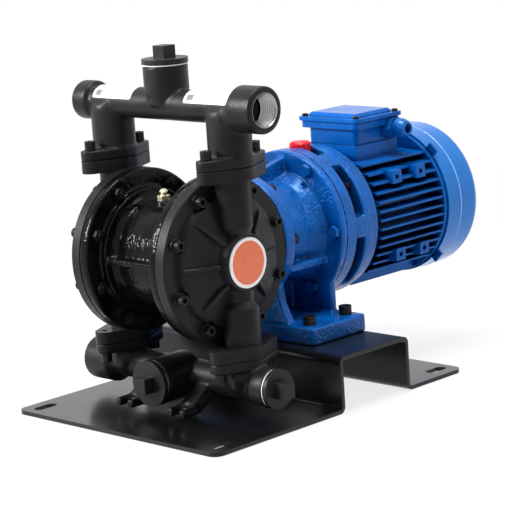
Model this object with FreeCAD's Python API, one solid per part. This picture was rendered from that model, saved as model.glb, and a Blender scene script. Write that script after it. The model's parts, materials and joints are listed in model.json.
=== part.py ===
import FreeCAD, Part
import math
import os

# Electric diaphragm pump: a double diaphragm head driven by a cycloidal geared motor.
# Millimetres. The origin lies on the floor at the centre of the whole set's outline, +Z is up,
# +Y points along the shaft from the pump to the motor, +X is the side of the discharge port.

os.makedirs("parts", exist_ok=True)
V = FreeCAD.Vector

# Base plate, bent from one sheet with a raised deck for the gear unit
plate_width = 280.0
plate_length = 350.0
plate_front = -233.0
sheet = 4.0
plate_corner = 10.0
bend_radius = 3.0
deck_height = 55.0
deck_front = -64.0
deck_rear = 35.0
slot_length = 26.0
slot_width = 11.0
slot_edge_x = 18.0
slot_edge_y = 21.5

# Main axes
shaft_height = 155.0
pump_y = -131.0
port_x = 80.0

# Stations along the shaft, each length measured from the joint between pump and gear unit
joint_y = -45.0
output_flange_width = 14.0
neck_length = 48.7
big_flange_width = 8.3
pin_ring_width = 13.0
lantern_gap = 14.0
adapter_disc_width = 11.6
motor_flange_width = 11.1
stator_frame_length = 102.3
fan_cover_setback = 5.0
fan_cover_length = 50.0

# Gear unit
output_flange_radius = 61.0
neck_radius = 46.0
neck_root_radius = 56.0
big_flange_radius = 77.0
adapter_hub_radius = 60.0
adapter_lug_width = 21.0
foot_half_width = 90.0
foot_front = -45.7
foot_rear = 32.5
foot_thick = 17.0
foot_bolt_x = 72.0
foot_bolt_front = -31.0
foot_bolt_rear = 21.0
pedestal_half_width = 57.0
pedestal_waist = 43.0
pedestal_web = 10.0
pedestal_roof_height = 122.0
pedestal_roof_thick = 7.0
top_rib_thick = 8.0
cap_radius = 10.8
cap_height = 11.0
cap_recess = 6.0
cap_thread = 5.0
cap_stub_radius = 8.0

# Cycloidal stage: a disc has one lobe less than the ring has pins
ring_pin_count = 12
ring_pin_circle = 58.0
ring_pin_radius = 4.0
eccentricity = 2.5
pin_ring_bore = 60.0
disc_width = 5.4
disc_gap = 0.6
disc_clearance = 0.25
disc_bore_radius = 17.0
output_pin_count = 6
output_pin_circle = 32.0
output_pin_radius = 4.0
roller_radius = 6.0
output_disc_radius = 42.0
output_disc_width = 11.0
gear_cavity_radius = 46.0
output_shaft_radius = 17.5
output_bearing_radius = 36.0
output_bearing_width = 17.0
seal_radius = 26.0
seal_width = 8.0

# Motor
motor_flange_radius = 74.0
frame_bore = 52.0
frame_shell = 58.0
fin_envelope = 78.0
fin_pitch = 9.4
fin_thick = 2.4
fin_end_gap = 4.0
rotor_radius = 36.0
air_gap = 0.5
core_length = 65.0
coil_length = 11.0
input_shaft_radius = 9.5
bearing_seat_radius = 10.0
bearing_outer = 23.5
bearing_width = 14.0
core_shaft_radius = 14.0
input_seal_radius = 22.0
fan_radius = 64.0
fan_width = 22.0
blade_count = 8
blade_thick = 2.2
fan_cover_radius = 82.0
fan_cover_sheet = 1.6
fan_cover_round = 9.0
grille_slots = 16
grille_slot_width = 5.0
endshield_radius = 72.0
endshield_width = 8.0

# Terminal box
box_half_width = 39.0
box_length = 68.0
box_front = 89.0
box_base = 227.0
box_height = 23.0
box_wall = 3.0
lid_overhang = 2.0
lid_height = 8.0
gasket_thick = 0.8
gland_radius = 8.0
gland_flats = 20.0
gland_back = 13.0
gland_height = 12.0

# Pump head
chamber_radius = 80.0
centre_flange_inner = 43.0
chamber_face = 53.0
cover_flange_width = 12.0
diaphragm_radius = 64.0
diaphragm_thick = 3.0
drum_radius = 54.0
crank_cavity_radius = 44.0
crank_cavity_half = 34.5
dish_floor = 41.5
dish_radius = 56.0
crank_neck_radius = 40.0
crank_bore_radius = 30.0
crank_flange_width = 15.0
boss_radius = 27.5
boss_face = 93.0
bowl_radius = 64.0
cover_screw_circle = 69.5
cover_screw_angles = (21.5, 61.0)
rib_angles = (0.0, 45.0, 135.0, 180.0, 225.0, 315.0)
cover_rib_thick = 3.0
cover_wall = 7.0
upper_neck_radius = 17.0
lower_neck_radius = 17.5
lower_duct_height = 112.0
duct_bore = 10.0

# Crank drive: the yoke straddles the eccentric's bearing
crank_throw = 4.0
crank_shaft_radius = 15.0
crank_journal_radius = 8.0
crank_disc_radius = 14.0
crank_bearing_radius = 18.0
crank_width = 18.0
yoke_jaw = 3.7
yoke_beam = 4.5
rod_radius = 8.0
bush_radius = 12.0
plate_radius = 36.0
clamp_plate_thick = 4.0
rod_nut_flats = 19.0
rod_nut_height = 7.0

# Manifolds and ball valves
top_joint = 245.0
bottom_joint = 64.0
port_flange_width = 12.0
manifold_flange_width = 10.0
flange_mid_radius = 23.0
flange_lug_radius = 9.5
flange_bolt_pitch = 64.0
top_pipe_height = 299.0
bottom_pipe_height = 37.5
pipe_radius = 15.0
pipe_bore = 11.0
neck_outer_radius = 21.0
large_collar_radius = 22.0
large_collar_start = 97.0
large_collar_end = 128.0
small_collar_radius = 19.0
small_collar_start = 101.0
small_collar_end = 118.0
port_thread_radius = 15.2
port_thread_depth = 24.0
middle_boss_radius = 21.5
top_boss_height = 38.0
front_boss_length = 45.0
plug_head = 15.0
plug_head_height = 12.0
plug_disc_width = 5.0
plug_ring_width = 1.2
plug_stub = 12.0
end_plug_thread = 12.3
ball_radius = 11.0
ball_chamber = 13.5
ball_travel = 6.0
ball_rest_gap = 0.3
seat_radius = 17.0
seat_bore = 9.0
seat_width = 5.0
manifold_foot_x = 36.0
manifold_foot_radius = 12.0
manifold_foot_reach = 56.0
manifold_foot_base = 10.0
manifold_foot_thick = 8.0
manifold_foot_slot = 9.0
badge_radius = 24.0
badge_thick = 0.8

# Fasteners: shank radius, head radius, head height
cover_screw = (3.0, 5.0, 6.0)
port_screw = (3.0, 5.2, 9.0)
foot_bolt = (4.0, 6.5, 8.5)
gear_bolt = (4.0, 6.5, 5.5)
crank_bolt = (3.5, 5.6, 6.0)
motor_bolt = (3.0, 5.0, 5.0)
small_screw = (1.8, 3.2, 2.4)

# Fits
running = 0.04
thread_gap = 0.05
hole_gap = 0.3
free_gap = 0.4

# Stations worked out from the lengths above
neck_y = joint_y + output_flange_width
big_flange_y = neck_y + neck_length
ring_y = big_flange_y + big_flange_width
gap_y = ring_y + pin_ring_width
adapter_y = gap_y + lantern_gap
motor_y = adapter_y + adapter_disc_width
frame_y = motor_y + motor_flange_width
frame_end = frame_y + stator_frame_length
cover_y = frame_end + fan_cover_setback
cover_end = cover_y + fan_cover_length
foot_top = deck_height + foot_thick
cover_outer = chamber_face + cover_flange_width


def rod(axis, radius, start, end, u, v):
    """Cylinder along an axis; u and v are the other two coordinates in order."""
    base = {"X": V(start, u, v), "Y": V(u, start, v), "Z": V(u, v, start)}[axis]
    return Part.makeCylinder(radius, end - start, base, direction(axis))


def direction(axis):
    return {"X": V(1, 0, 0), "Y": V(0, 1, 0), "Z": V(0, 0, 1)}[axis]


def place(axis, along, a, b):
    return {"X": V(along, a, b), "Y": V(a, along, b), "Z": V(a, b, along)}[axis]


def ring(axis, outer, inner, start, end, u, v):
    return rod(axis, outer, start, end, u, v).cut(rod(axis, inner, start - 1, end + 1, u, v))


def block(x0, x1, y0, y1, z0, z1):
    return Part.makeBox(x1 - x0, y1 - y0, z1 - z0, V(x0, y0, z0))


def prism(axis, points, start, end):
    """Closed outline of (a, b) points, pushed from start to end along an axis."""
    corners = [place(axis, start, a, b) for a, b in points]
    face = Part.Face(Part.makePolygon(corners + corners[:1]))
    return face.extrude(direction(axis) * (end - start))


def polygon(axis, flats, sides, start, end, u, v, turn=0.0):
    radius = flats / 2 / math.cos(math.pi / sides)
    points = [spot(radius, turn + 360.0 * i / sides, u, v) for i in range(sides)]
    return prism(axis, points, start, end)


def spun(axis, profile, u, v):
    """Body of revolution from (along, radius) points about an axis through u, v."""
    centre = place(axis, 0, u, v)
    out = {"X": V(0, 0, 1), "Y": V(0, 0, 1), "Z": V(1, 0, 0)}[axis]
    corners = [centre + direction(axis) * a + out * r for a, r in profile]
    face = Part.Face(Part.makePolygon(corners + corners[:1]))
    return face.revolve(centre, direction(axis), 360)


def spot(radius, degrees, u, v):
    """Point on a circle, the angle counted from the first coordinate to the second."""
    angle = math.radians(degrees)
    return u + radius * math.cos(angle), v + radius * math.sin(angle)


def spread(count, first=0.0):
    return [first + 360.0 * i / count for i in range(count)]


def fused(shapes):
    return shapes[0].multiFuse(shapes[1:]).removeSplitter()


def less(shape, tools):
    return shape.cut(Part.makeCompound(tools))


def mirrored(shape):
    return shape.mirror(V(0, 0, 0), V(1, 0, 0))


def rounded(shape, radius, test):
    edges = [e for e in shape.Edges if test(e)]
    return shape.makeFillet(radius, edges)


def runs(axis, edge):
    """True for a straight edge along an axis."""
    if len(edge.Vertexes) != 2:
        return False
    step = edge.Vertexes[1].Point - edge.Vertexes[0].Point
    return step.Length > 0 and abs(step.normalize().dot(direction(axis))) > 0.999


def obround(x, y, length, width, z0, z1):
    """Slot with round ends, its length along Y."""
    half = length / 2 - width / 2
    body = block(x - width / 2, x + width / 2, y - half, y + half, z0, z1)
    ends = [rod("Z", width / 2, z0, z1, x, y + side * half) for side in (-1, 1)]
    return fused([body] + ends)


def cap_screw(axis, size, seat, length, u, v, way=1):
    """Socket head screw: the head stands on its seat, the shank runs back from it."""
    shank, head, height = size
    low, high = sorted((seat, seat + way * height))
    a, b = sorted((seat, seat - way * length))
    deep, face = sorted((seat + way * height * 0.4, seat + way * height))
    screw = rod(axis, head, low, high, u, v).fuse(rod(axis, shank, a, b, u, v))
    return screw.cut(polygon(axis, head * 1.0, 6, deep, face, u, v))


def hex_bolt(axis, size, seat, length, u, v, way=1):
    shank, head, height = size
    low, high = sorted((seat, seat + way * height))
    a, b = sorted((seat, seat - way * length))
    bolt = polygon(axis, head * 2 * 0.9, 6, low, high, u, v, 30)
    return bolt.fuse(rod(axis, shank, a, b, u, v))


def hex_nut(axis, shank, flats, start, end, u, v):
    hole = rod(axis, shank + thread_gap, start - 1, end + 1, u, v)
    return polygon(axis, flats, 6, start, end, u, v).cut(hole)


def save(name, shapes):
    shape = shapes[0] if len(shapes) == 1 else Part.makeCompound(shapes)
    shape.exportStep("parts/" + name + ".step")


# Positions used by more than one piece
foot_bolt_spots = [(side * foot_bolt_x, y) for side in (-1, 1) for y in (foot_bolt_front, foot_bolt_rear)]
gear_bolt_circle = big_flange_radius - 9.0
gear_bolt_spots = [spot(gear_bolt_circle, a, 0, shaft_height) for a in spread(6)]
crank_bolt_circle = output_flange_radius - crank_bolt[1] - 1.5
crank_bolt_spots = [spot(crank_bolt_circle, a, 0, shaft_height) for a in spread(6)]
motor_bolt_circle = motor_flange_radius - 7.5
motor_bolt_spots = [spot(motor_bolt_circle, a, 0, shaft_height) for a in (35, 145, 215, 325)]
cover_screw_degrees = [s + t for a in cover_screw_angles for s, t in ((0, a), (0, -a), (180, a), (180, -a))]
cover_screw_spots = [spot(cover_screw_circle, a, pump_y, shaft_height) for a in cover_screw_degrees]
port_bolt_offsets = (-flange_bolt_pitch / 2, flange_bolt_pitch / 2)


# Base plate
def base_plate():
    front, rear = plate_front, plate_front + plate_length
    inner_front = deck_front + sheet
    inner_rear = deck_rear - sheet
    under = deck_height - sheet
    outline = [(front, 0), (inner_front, 0), (inner_front, under), (inner_rear, under), (inner_rear, 0), (rear, 0),
               (rear, sheet), (deck_rear, sheet), (deck_rear, deck_height), (deck_front, deck_height),
               (deck_front, sheet), (front, sheet)]
    plate = prism("X", outline, -plate_width / 2, plate_width / 2)

    def at(edge, y, z):
        middle = edge.CenterOfMass
        return runs("X", edge) and abs(middle.y - y) < 0.01 and abs(middle.z - z) < 0.01

    inner = [(inner_front, under), (inner_rear, under), (deck_front, sheet), (deck_rear, sheet)]
    outer = [(deck_front, deck_height), (deck_rear, deck_height), (inner_front, 0), (inner_rear, 0)]
    plate = rounded(plate, bend_radius, lambda e: any(at(e, y, z) for y, z in inner))
    plate = rounded(plate, bend_radius + sheet, lambda e: any(at(e, y, z) for y, z in outer))
    ends = (front, rear)
    plate = rounded(plate, plate_corner, lambda e: runs("Z", e) and min(abs(e.CenterOfMass.y - end) for end in ends) < 0.01)
    slots = [obround(side * (plate_width / 2 - slot_edge_x), y, slot_length, slot_width, -1, sheet + 1)
             for side in (-1, 1) for y in (front + slot_edge_y, rear - slot_edge_y)]
    holes = [rod("Z", foot_bolt[0] + hole_gap, under - 1, deck_height + 1, x, y) for x, y in foot_bolt_spots]
    return less(plate, slots + holes)


def foot_bolts():
    length = foot_thick + sheet + 10
    return [cap_screw("Z", foot_bolt, foot_top, length, x, y) for x, y in foot_bolt_spots]


def foot_nuts():
    under = deck_height - sheet
    return [hex_nut("Z", foot_bolt[0], 13.0, under - 6.5, under, x, y) for x, y in foot_bolt_spots]


# Gear unit housing with its pedestal and foot
def gearbox_housing():
    z = shaft_height
    cavity_y = ring_y - output_disc_width - 3
    outer = [(joint_y, 0), (joint_y, output_flange_radius - 1), (joint_y + 1, output_flange_radius),
             (neck_y - 1, output_flange_radius), (neck_y, output_flange_radius - 1), (neck_y, neck_radius),
             (neck_y + neck_length * 0.7, neck_radius + 4), (big_flange_y, neck_root_radius),
             (big_flange_y, big_flange_radius - 1), (big_flange_y + 1, big_flange_radius),
             (ring_y, big_flange_radius), (ring_y, 0)]
    body = spun("Y", outer, 0, z)
    web_top = z - neck_radius + 12
    curve = [(pedestal_half_width, foot_top), (pedestal_waist + 3.5, foot_top + 20), (pedestal_waist, foot_top + 42),
             (pedestal_waist, web_top + 6)]
    front = prism("Y", curve + [(-x, h) for x, h in reversed(curve)], joint_y + 1, joint_y + 1 + pedestal_web)
    rear = block(-pedestal_half_width, pedestal_half_width, big_flange_y, ring_y, foot_top - 1, z)
    middle = block(-5, 5, joint_y + 4, ring_y - 1, foot_top - 1, web_top)
    roof = block(-neck_root_radius + 2, neck_root_radius - 2, neck_y - 1, big_flange_y + 1, pedestal_roof_height,
                 pedestal_roof_height + pedestal_roof_thick)
    foot = block(-foot_half_width, foot_half_width, foot_front, foot_rear, deck_height, foot_top)
    foot = rounded(foot, 5, lambda e: runs("Z", e))
    rib = prism("X", [(neck_y - 1, z + neck_radius - 4), (neck_y - 1, z + output_flange_radius - 2),
                      (big_flange_y + 1, z + big_flange_radius - 6), (big_flange_y + 1, z + neck_radius)],
                -top_rib_thick / 2, top_rib_thick / 2)
    body = fused([body, front, rear, middle, roof, foot, rib])
    bores = [rod("Y", seal_radius + running, joint_y - 1, joint_y + 1 + seal_width, 0, z),
             rod("Y", output_shaft_radius + 4, joint_y, ring_y, 0, z),
             rod("Y", output_bearing_radius + running, joint_y + 13, cavity_y + 1, 0, z),
             rod("Y", gear_cavity_radius, cavity_y, ring_y + 1, 0, z)]
    bores += [rod("Z", foot_bolt[0] + hole_gap, deck_height - 1, foot_top + 1, x, y) for x, y in foot_bolt_spots]
    bores += [rod("Y", gear_bolt[0] + hole_gap, big_flange_y - 1, ring_y + 1, x, h) for x, h in gear_bolt_spots]
    bores += [rod("Y", crank_bolt[0] + hole_gap, joint_y - 1, neck_y + 1, x, h) for x, h in crank_bolt_spots]
    return less(body, bores)


def pin_spots(radius, extra=0.0):
    first = 90.0 + extra
    return [spot(radius, a, 0, shaft_height) for a in spread(ring_pin_count, first)]


def gearbox_pin_ring():
    body = ring("Y", big_flange_radius, pin_ring_bore, ring_y, gap_y, 0, shaft_height)
    holes = [rod("Y", gear_bolt[0] + hole_gap, ring_y - 1, gap_y + 1, x, z) for x, z in gear_bolt_spots]
    grooves = [rod("Y", ring_pin_radius + running, ring_y - 1, gap_y + 1, x, z) for x, z in pin_spots(ring_pin_circle)]
    return less(body, holes + grooves + [cap_room()])


def ring_pins():
    return [rod("Y", ring_pin_radius, ring_y + 0.1, gap_y - 0.1, x, z) for x, z in pin_spots(ring_pin_circle)]


def cycloid_disc(start, lean):
    """Disc whose centre lies off the shaft by the eccentricity, up for lean 1 and down for lean -1."""
    lobes = ring_pin_count - 1
    pin = ring_pin_radius + disc_clearance
    steps = lobes * 8
    points = []
    for i in range(steps):
        turn = 2 * math.pi * i / steps
        tilt = math.atan2(math.sin(-lobes * turn),
                          ring_pin_circle / (eccentricity * ring_pin_count) - math.cos(-lobes * turn))
        a = ring_pin_circle * math.cos(turn) - pin * math.cos(turn + tilt) - eccentricity * math.cos(ring_pin_count * turn)
        b = -ring_pin_circle * math.sin(turn) + pin * math.sin(turn + tilt) + eccentricity * math.sin(ring_pin_count * turn)
        points.append(V(b, start, lean * (eccentricity + a) + shaft_height))
    curve = Part.BSplineCurve()
    curve.interpolate(Points=points, PeriodicFlag=True)
    face = Part.Face(Part.Wire([curve.toShape()]))
    disc = face.extrude(V(0, disc_width, 0))
    centre = shaft_height + lean * eccentricity
    hole = roller_radius + eccentricity + disc_clearance
    holes = [rod("Y", hole, start - 1, start + disc_width + 1, x, z)
             for x, z in [spot(output_pin_circle, t, 0, centre) for t in spread(output_pin_count, 90)]]
    bore = rod("Y", disc_bore_radius + running, start - 1, start + disc_width + 1, 0, centre)
    return less(disc, holes + [bore])


disc_front_y = ring_y + disc_gap
disc_rear_y = gap_y - disc_gap - disc_width


def double_eccentric():
    split = (disc_front_y + disc_width + disc_rear_y) / 2
    front = rod("Y", disc_bore_radius, disc_front_y, split, 0, shaft_height + eccentricity)
    rear = rod("Y", disc_bore_radius, split, disc_rear_y + disc_width, 0, shaft_height - eccentricity)
    bore = rod("Y", input_shaft_radius + running, ring_y - 1, gap_y + 1, 0, shaft_height)
    return less(fused([front, rear]), [bore])


def output_shaft():
    z = shaft_height
    end = pump_y + crank_width / 2
    disc_y = ring_y - output_disc_width
    shaft = [(end - crank_width, 0), (end - crank_width, crank_journal_radius), (end, crank_journal_radius),
             (end, crank_shaft_radius), (joint_y - 6, crank_shaft_radius), (joint_y - 5, output_shaft_radius),
             (disc_y, output_shaft_radius), (disc_y, output_disc_radius), (ring_y - 0.5, output_disc_radius),
             (ring_y - 0.5, 0)]
    pins = [rod("Y", output_pin_radius, ring_y - 3, gap_y - free_gap, x, h)
            for x, h in [spot(output_pin_circle, a, 0, z) for a in spread(output_pin_count, 90)]]
    body = fused([spun("Y", shaft, 0, z)] + pins)
    pilot = rod("Y", input_shaft_radius + 2, ring_y - 6, ring_y, 0, z)
    return less(body, [pilot])


def output_rollers():
    return [ring("Y", roller_radius, output_pin_radius + running, ring_y + 0.2, gap_y - free_gap, x, h)
            for x, h in [spot(output_pin_circle, a, 0, shaft_height) for a in spread(output_pin_count, 90)]]


def ball_bearing(outer, inner, start, width):
    """Bearing seen as one ring with a groove on each face between its races."""
    z = shaft_height
    body = ring("Y", outer, inner + running, start, start + width, 0, z)
    mid = (outer + inner) / 2
    half = (outer - inner) * 0.18
    grooves = [ring("Y", mid + half, mid - half, start - 1, start + width * 0.15, 0, z),
               ring("Y", mid + half, mid - half, start + width * 0.85, start + width + 1, 0, z)]
    return less(body, grooves)


def output_bearings():
    first = joint_y + 13
    last = ring_y - output_disc_width - 3 - output_bearing_width
    return [ball_bearing(output_bearing_radius, output_shaft_radius, y, output_bearing_width) for y in (first, last)]


def output_oil_seal():
    return ring("Y", seal_radius, output_shaft_radius + running, joint_y + 1, joint_y + 1 + seal_width, 0, shaft_height)


cap_y = gap_y + lantern_gap / 2
cap_seat = shaft_height + big_flange_radius - cap_recess


def cap_room():
    """Spot face cut into both rims so that the breather cap can sit between them."""
    return rod("Z", cap_radius + 0.6, cap_seat, cap_seat + cap_recess + 1, 0, cap_y)


def motor_adapter():
    z = shaft_height
    hub = rod("Y", adapter_hub_radius, gap_y, adapter_y + 1, 0, z)
    disc = rod("Y", big_flange_radius, adapter_y, motor_y, 0, z)
    disc = rounded(disc, 1.0, lambda e: abs(e.BoundBox.YLength) < 0.01)
    lug = block(adapter_hub_radius - 6, big_flange_radius + 4, gap_y, adapter_y + 1,
                z - adapter_lug_width / 2, z + adapter_lug_width / 2)
    lug = lug.common(rod("Y", big_flange_radius, gap_y, adapter_y + 1, 0, z))
    lugs = [lug.rotated(V(0, 0, z), V(0, 1, 0), a) for a in spread(6)]
    stub = rod("Z", cap_stub_radius, z + adapter_hub_radius - 4, cap_seat, 0, cap_y)
    stub = stub.common(block(-20, 20, gap_y, adapter_y, z, z + big_flange_radius))
    body = fused([hub, disc] + lugs + [stub])
    bores = [rod("Y", input_seal_radius + running, gap_y - 1, motor_y - 8, 0, z),
             rod("Y", input_shaft_radius + 3, motor_y - 9, motor_y + 1, 0, z),
             rod("Z", cap_thread + thread_gap, z + adapter_hub_radius - 10, cap_seat + 1, 0, cap_y), cap_room()]
    bores += [rod("Y", gear_bolt[0] + thread_gap, gap_y - 1, adapter_y - 1, x, h) for x, h in gear_bolt_spots]
    bores += [rod("Y", motor_bolt[0] + hole_gap, adapter_y - 1, motor_y + 1, x, h) for x, h in motor_bolt_spots]
    return less(body, bores)


def input_oil_seal():
    start = gap_y + 4
    return ring("Y", input_seal_radius, input_shaft_radius + running, start, start + seal_width, 0, shaft_height)


def gearbox_bolts():
    length = big_flange_width + pin_ring_width + lantern_gap - 4
    return [hex_bolt("Y", gear_bolt, big_flange_y, length, x, z, -1) for x, z in gear_bolt_spots]


def breather_cap():
    r, top = cap_radius, cap_seat + cap_height
    stem = rod("Z", cap_thread, cap_seat - 8, cap_seat + 1, 0, cap_y)
    cap = spun("Z", [(cap_seat, 0), (cap_seat, r - 0.8), (cap_seat + 1.5, r), (top - 2, r), (top, r - 1.8), (top, 0)],
               0, cap_y)
    flutes = [rod("Z", 1.3, cap_seat - 1, top + 1, *spot(r + 0.6, a, 0, cap_y)) for a in spread(14)]
    return less(stem.fuse(cap), flutes)


# Motor
def motor_flange():
    z = shaft_height
    disc = [(motor_y, 0), (motor_y, motor_flange_radius), (frame_y - 1.5, motor_flange_radius),
            (frame_y, motor_flange_radius - 1.5), (frame_y, frame_bore - 0.1), (frame_y + 4, frame_bore - 0.1),
            (frame_y + 4, frame_bore - 6), (frame_y + 1, frame_bore - 7), (frame_y + 1, bearing_outer + 6),
            (frame_y + 5, bearing_outer + 6), (frame_y + 5, 0)]
    body = spun("Y", disc, 0, z)
    bores = [rod("Y", bearing_outer + running, frame_y + 4 - bearing_width, frame_y + 6, 0, z),
             rod("Y", input_shaft_radius + 3, motor_y - 1, frame_y, 0, z)]
    bores += [rod("Y", motor_bolt[0] + thread_gap, motor_y - 1, frame_y - 2, x, h) for x, h in motor_bolt_spots]
    return less(body, bores)


def motor_flange_bolts():
    return [cap_screw("Y", motor_bolt, adapter_y, adapter_disc_width + 8, x, z, -1) for x, z in motor_bolt_spots]


def motor_housing():
    z = shaft_height
    start, end = frame_y + fin_end_gap, frame_end - fin_end_gap
    tube = rod("Y", frame_shell, frame_y, frame_end, 0, z)
    count = int((fin_envelope - 18) / fin_pitch)
    fins = []
    for k in range(-count, count + 1):
        offset = k * fin_pitch
        reach = min(math.sqrt(fin_envelope ** 2 - offset ** 2), fin_envelope - 1)
        fins.append(block(-reach, reach, start, end, z + offset - fin_thick / 2, z + offset + fin_thick / 2))
    for k in range(-3, 4):
        fins.append(block(k * fin_pitch - fin_thick / 2, k * fin_pitch + fin_thick / 2, start, end,
                          z - fin_envelope + 1 + abs(k) * 1.2, z - frame_shell + 4))
    base = block(-box_half_width + 4, box_half_width - 4, box_front + 2, box_front + box_length - 2,
                 z + frame_shell - 10, box_base)
    body = fused([tube, base] + fins)
    for side in (-1, 1):
        for level in (-1, 1):
            for y in (foot_boss_front, foot_boss_rear):
                reach = foot_boss_reach
                x0, x1 = sorted((side * (frame_shell - 16), side * reach))
                mid = z + level * foot_boss_offset
                body = body.fuse(block(x0, x1, y - 7, y + 7, mid - 7, mid + 7))
    body = body.removeSplitter()
    holes = [rod("X", 2.6, side * foot_boss_reach - 10, side * foot_boss_reach + 10, y, z + level * foot_boss_offset)
             for side in (-1, 1) for level in (-1, 1) for y in (foot_boss_front, foot_boss_rear)]
    holes.append(rod("Y", frame_bore, frame_y - 1, frame_end + 1, 0, z))
    holes.append(rod("Z", 7, z + frame_bore - 2, box_base + 1, 0, box_front + box_length / 2))
    return less(body, holes)


foot_boss_front = 112.5
foot_boss_rear = 149.5
foot_boss_offset = 42.0
foot_boss_reach = 73.0
core_y = frame_y + 17


def stator_core():
    return ring("Y", frame_bore - 0.1, rotor_radius + air_gap, core_y, core_y + core_length, 0, shaft_height)


def stator_windings():
    outer, inner = frame_bore - 4, rotor_radius + 2
    coils = []
    for face, way in ((core_y, -1), (core_y + core_length, 1)):
        end = face + way * coil_length
        profile = [(face, inner), (face, outer), (end - way * 4, outer), (end, outer - 3), (end, inner + 3),
                   (end - way * 4, inner)]
        coils.append(spun("Y", profile, 0, shaft_height))
    return coils


def rotor_core():
    z = shaft_height
    body = rod("Y", rotor_radius, core_y, core_y + core_length, 0, z)
    ends = [ring("Y", rotor_radius - 2, rotor_radius - 11, core_y - 6, core_y + 1, 0, z),
            ring("Y", rotor_radius - 2, rotor_radius - 11, core_y + core_length - 1, core_y + core_length + 6, 0, z)]
    return less(fused([body] + ends), [rod("Y", core_shaft_radius + running, core_y - 9, core_y + core_length + 9, 0, z)])


front_bearing_y = frame_y + 4 - bearing_width
rear_bearing_y = frame_end - 6
fan_y = cover_y + 9


def motor_shaft():
    end = fan_y + fan_width * 0.6
    steps = [(ring_y - 3, 0), (ring_y - 3, input_shaft_radius), (front_bearing_y - 1, input_shaft_radius),
             (front_bearing_y - 1, bearing_seat_radius), (front_bearing_y + bearing_width, bearing_seat_radius),
             (front_bearing_y + bearing_width, core_shaft_radius), (rear_bearing_y, core_shaft_radius),
             (rear_bearing_y, bearing_seat_radius), (rear_bearing_y + bearing_width + 2, bearing_seat_radius),
             (rear_bearing_y + bearing_width + 2, input_shaft_radius - 1), (end, input_shaft_radius - 1), (end, 0)]
    return spun("Y", steps, 0, shaft_height)


def motor_bearings():
    return [ball_bearing(bearing_outer, bearing_seat_radius, y, bearing_width) for y in (front_bearing_y, rear_bearing_y)]


def rear_endshield():
    z = shaft_height
    disc = [(frame_end - 4, bearing_outer + 6), (frame_end - 4, frame_bore - 0.1), (frame_end, frame_bore - 0.1),
            (frame_end, endshield_radius), (frame_end + endshield_width - 2, endshield_radius),
            (frame_end + endshield_width, endshield_radius - 4), (frame_end + endshield_width, bearing_outer + 6)]
    hub = ring("Y", bearing_outer + 7, bearing_outer + running, rear_bearing_y, frame_end + endshield_width + 1, 0, z)
    cap = ring("Y", bearing_outer + 7, bearing_seat_radius + 1, frame_end + endshield_width,
               frame_end + endshield_width + 2, 0, z)
    ear = block(endshield_radius - 4, fan_cover_radius, cover_y, frame_end + endshield_width, z - 6, z + 6)
    ear = ear.common(rod("Y", fan_cover_radius - fan_cover_sheet - 0.1, cover_y, cover_y + 20, 0, z))
    ears = [ear.rotated(V(0, 0, z), V(0, 1, 0), a) for a in spread(4, 45)]
    body = fused([spun("Y", disc, 0, z), hub, cap] + ears)
    holes = [radial_rod(small_screw[0] + thread_gap, endshield_radius - 3, fan_cover_radius + 2, a) for a in spread(4, 45)]
    return less(body, holes)


screw_y = cover_y + 5


def radial_rod(radius, inner, outer, degrees):
    """Cylinder along a radius of the motor, turned about the shaft."""
    piece = rod("X", radius, inner, outer, screw_y, shaft_height)
    return piece.rotated(V(0, 0, shaft_height), V(0, 1, 0), degrees)


def cooling_fan():
    z = shaft_height
    hub = rod("Y", 15, fan_y, fan_y + fan_width * 0.7, 0, z)
    disc = rod("Y", fan_radius * 0.6, fan_y, fan_y + 2.5, 0, z)
    blade = block(10, fan_radius, fan_y, fan_y + fan_width, z - blade_thick / 2, z + blade_thick / 2)
    blade = less(blade, [prism("Z", [(fan_radius * 0.45, fan_y + fan_width + 1), (12, fan_y + fan_width + 1),
                                     (12, fan_y + fan_width * 0.7)], z - 5, z + 5)])
    blades = [blade.rotated(V(0, 0, z), V(0, 1, 0), a) for a in spread(blade_count)]
    body = fused([hub, disc] + blades)
    return less(body, [rod("Y", input_shaft_radius - 1 + running, fan_y - 1, fan_y + fan_width + 1, 0, z)])


def fan_cover():
    z = shaft_height
    t = fan_cover_sheet
    outer = rod("Y", fan_cover_radius, cover_y, cover_end, 0, z)
    outer = rounded(outer, fan_cover_round, lambda e: abs(e.CenterOfMass.y - cover_end) < 0.01)
    inner = rod("Y", fan_cover_radius - t, cover_y - 1, cover_end - t, 0, z)
    inner = rounded(inner, fan_cover_round - t, lambda e: abs(e.CenterOfMass.y - cover_end + t) < 0.01)
    slot = block(20, fan_cover_radius - 18, cover_end - t - 1, cover_end + 1,
                 z - grille_slot_width / 2, z + grille_slot_width / 2)
    slots = [slot.rotated(V(0, 0, z), V(0, 1, 0), a) for a in spread(grille_slots, 360.0 / grille_slots / 2)]
    holes = [radial_rod(small_screw[0] + hole_gap, fan_cover_radius - 5, fan_cover_radius + 5, a) for a in spread(4, 45)]
    return less(outer, [inner] + slots + holes)


def fan_cover_screws():
    screws = []
    for a in spread(4, 45):
        shank = radial_rod(small_screw[0], endshield_radius, fan_cover_radius, a)
        head = radial_rod(small_screw[1], fan_cover_radius, fan_cover_radius + small_screw[2], a)
        screws.append(shank.fuse(head))
    return screws


# Terminal box on top of the motor
box_end = box_front + box_length
box_top = box_base + box_height
gland_y = box_end - gland_back
gland_z = box_base + gland_height
lid_screw_spots = [(side * (box_half_width - 4), y) for side in (-1, 1) for y in (box_front + 4, box_end - 4)]


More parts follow.
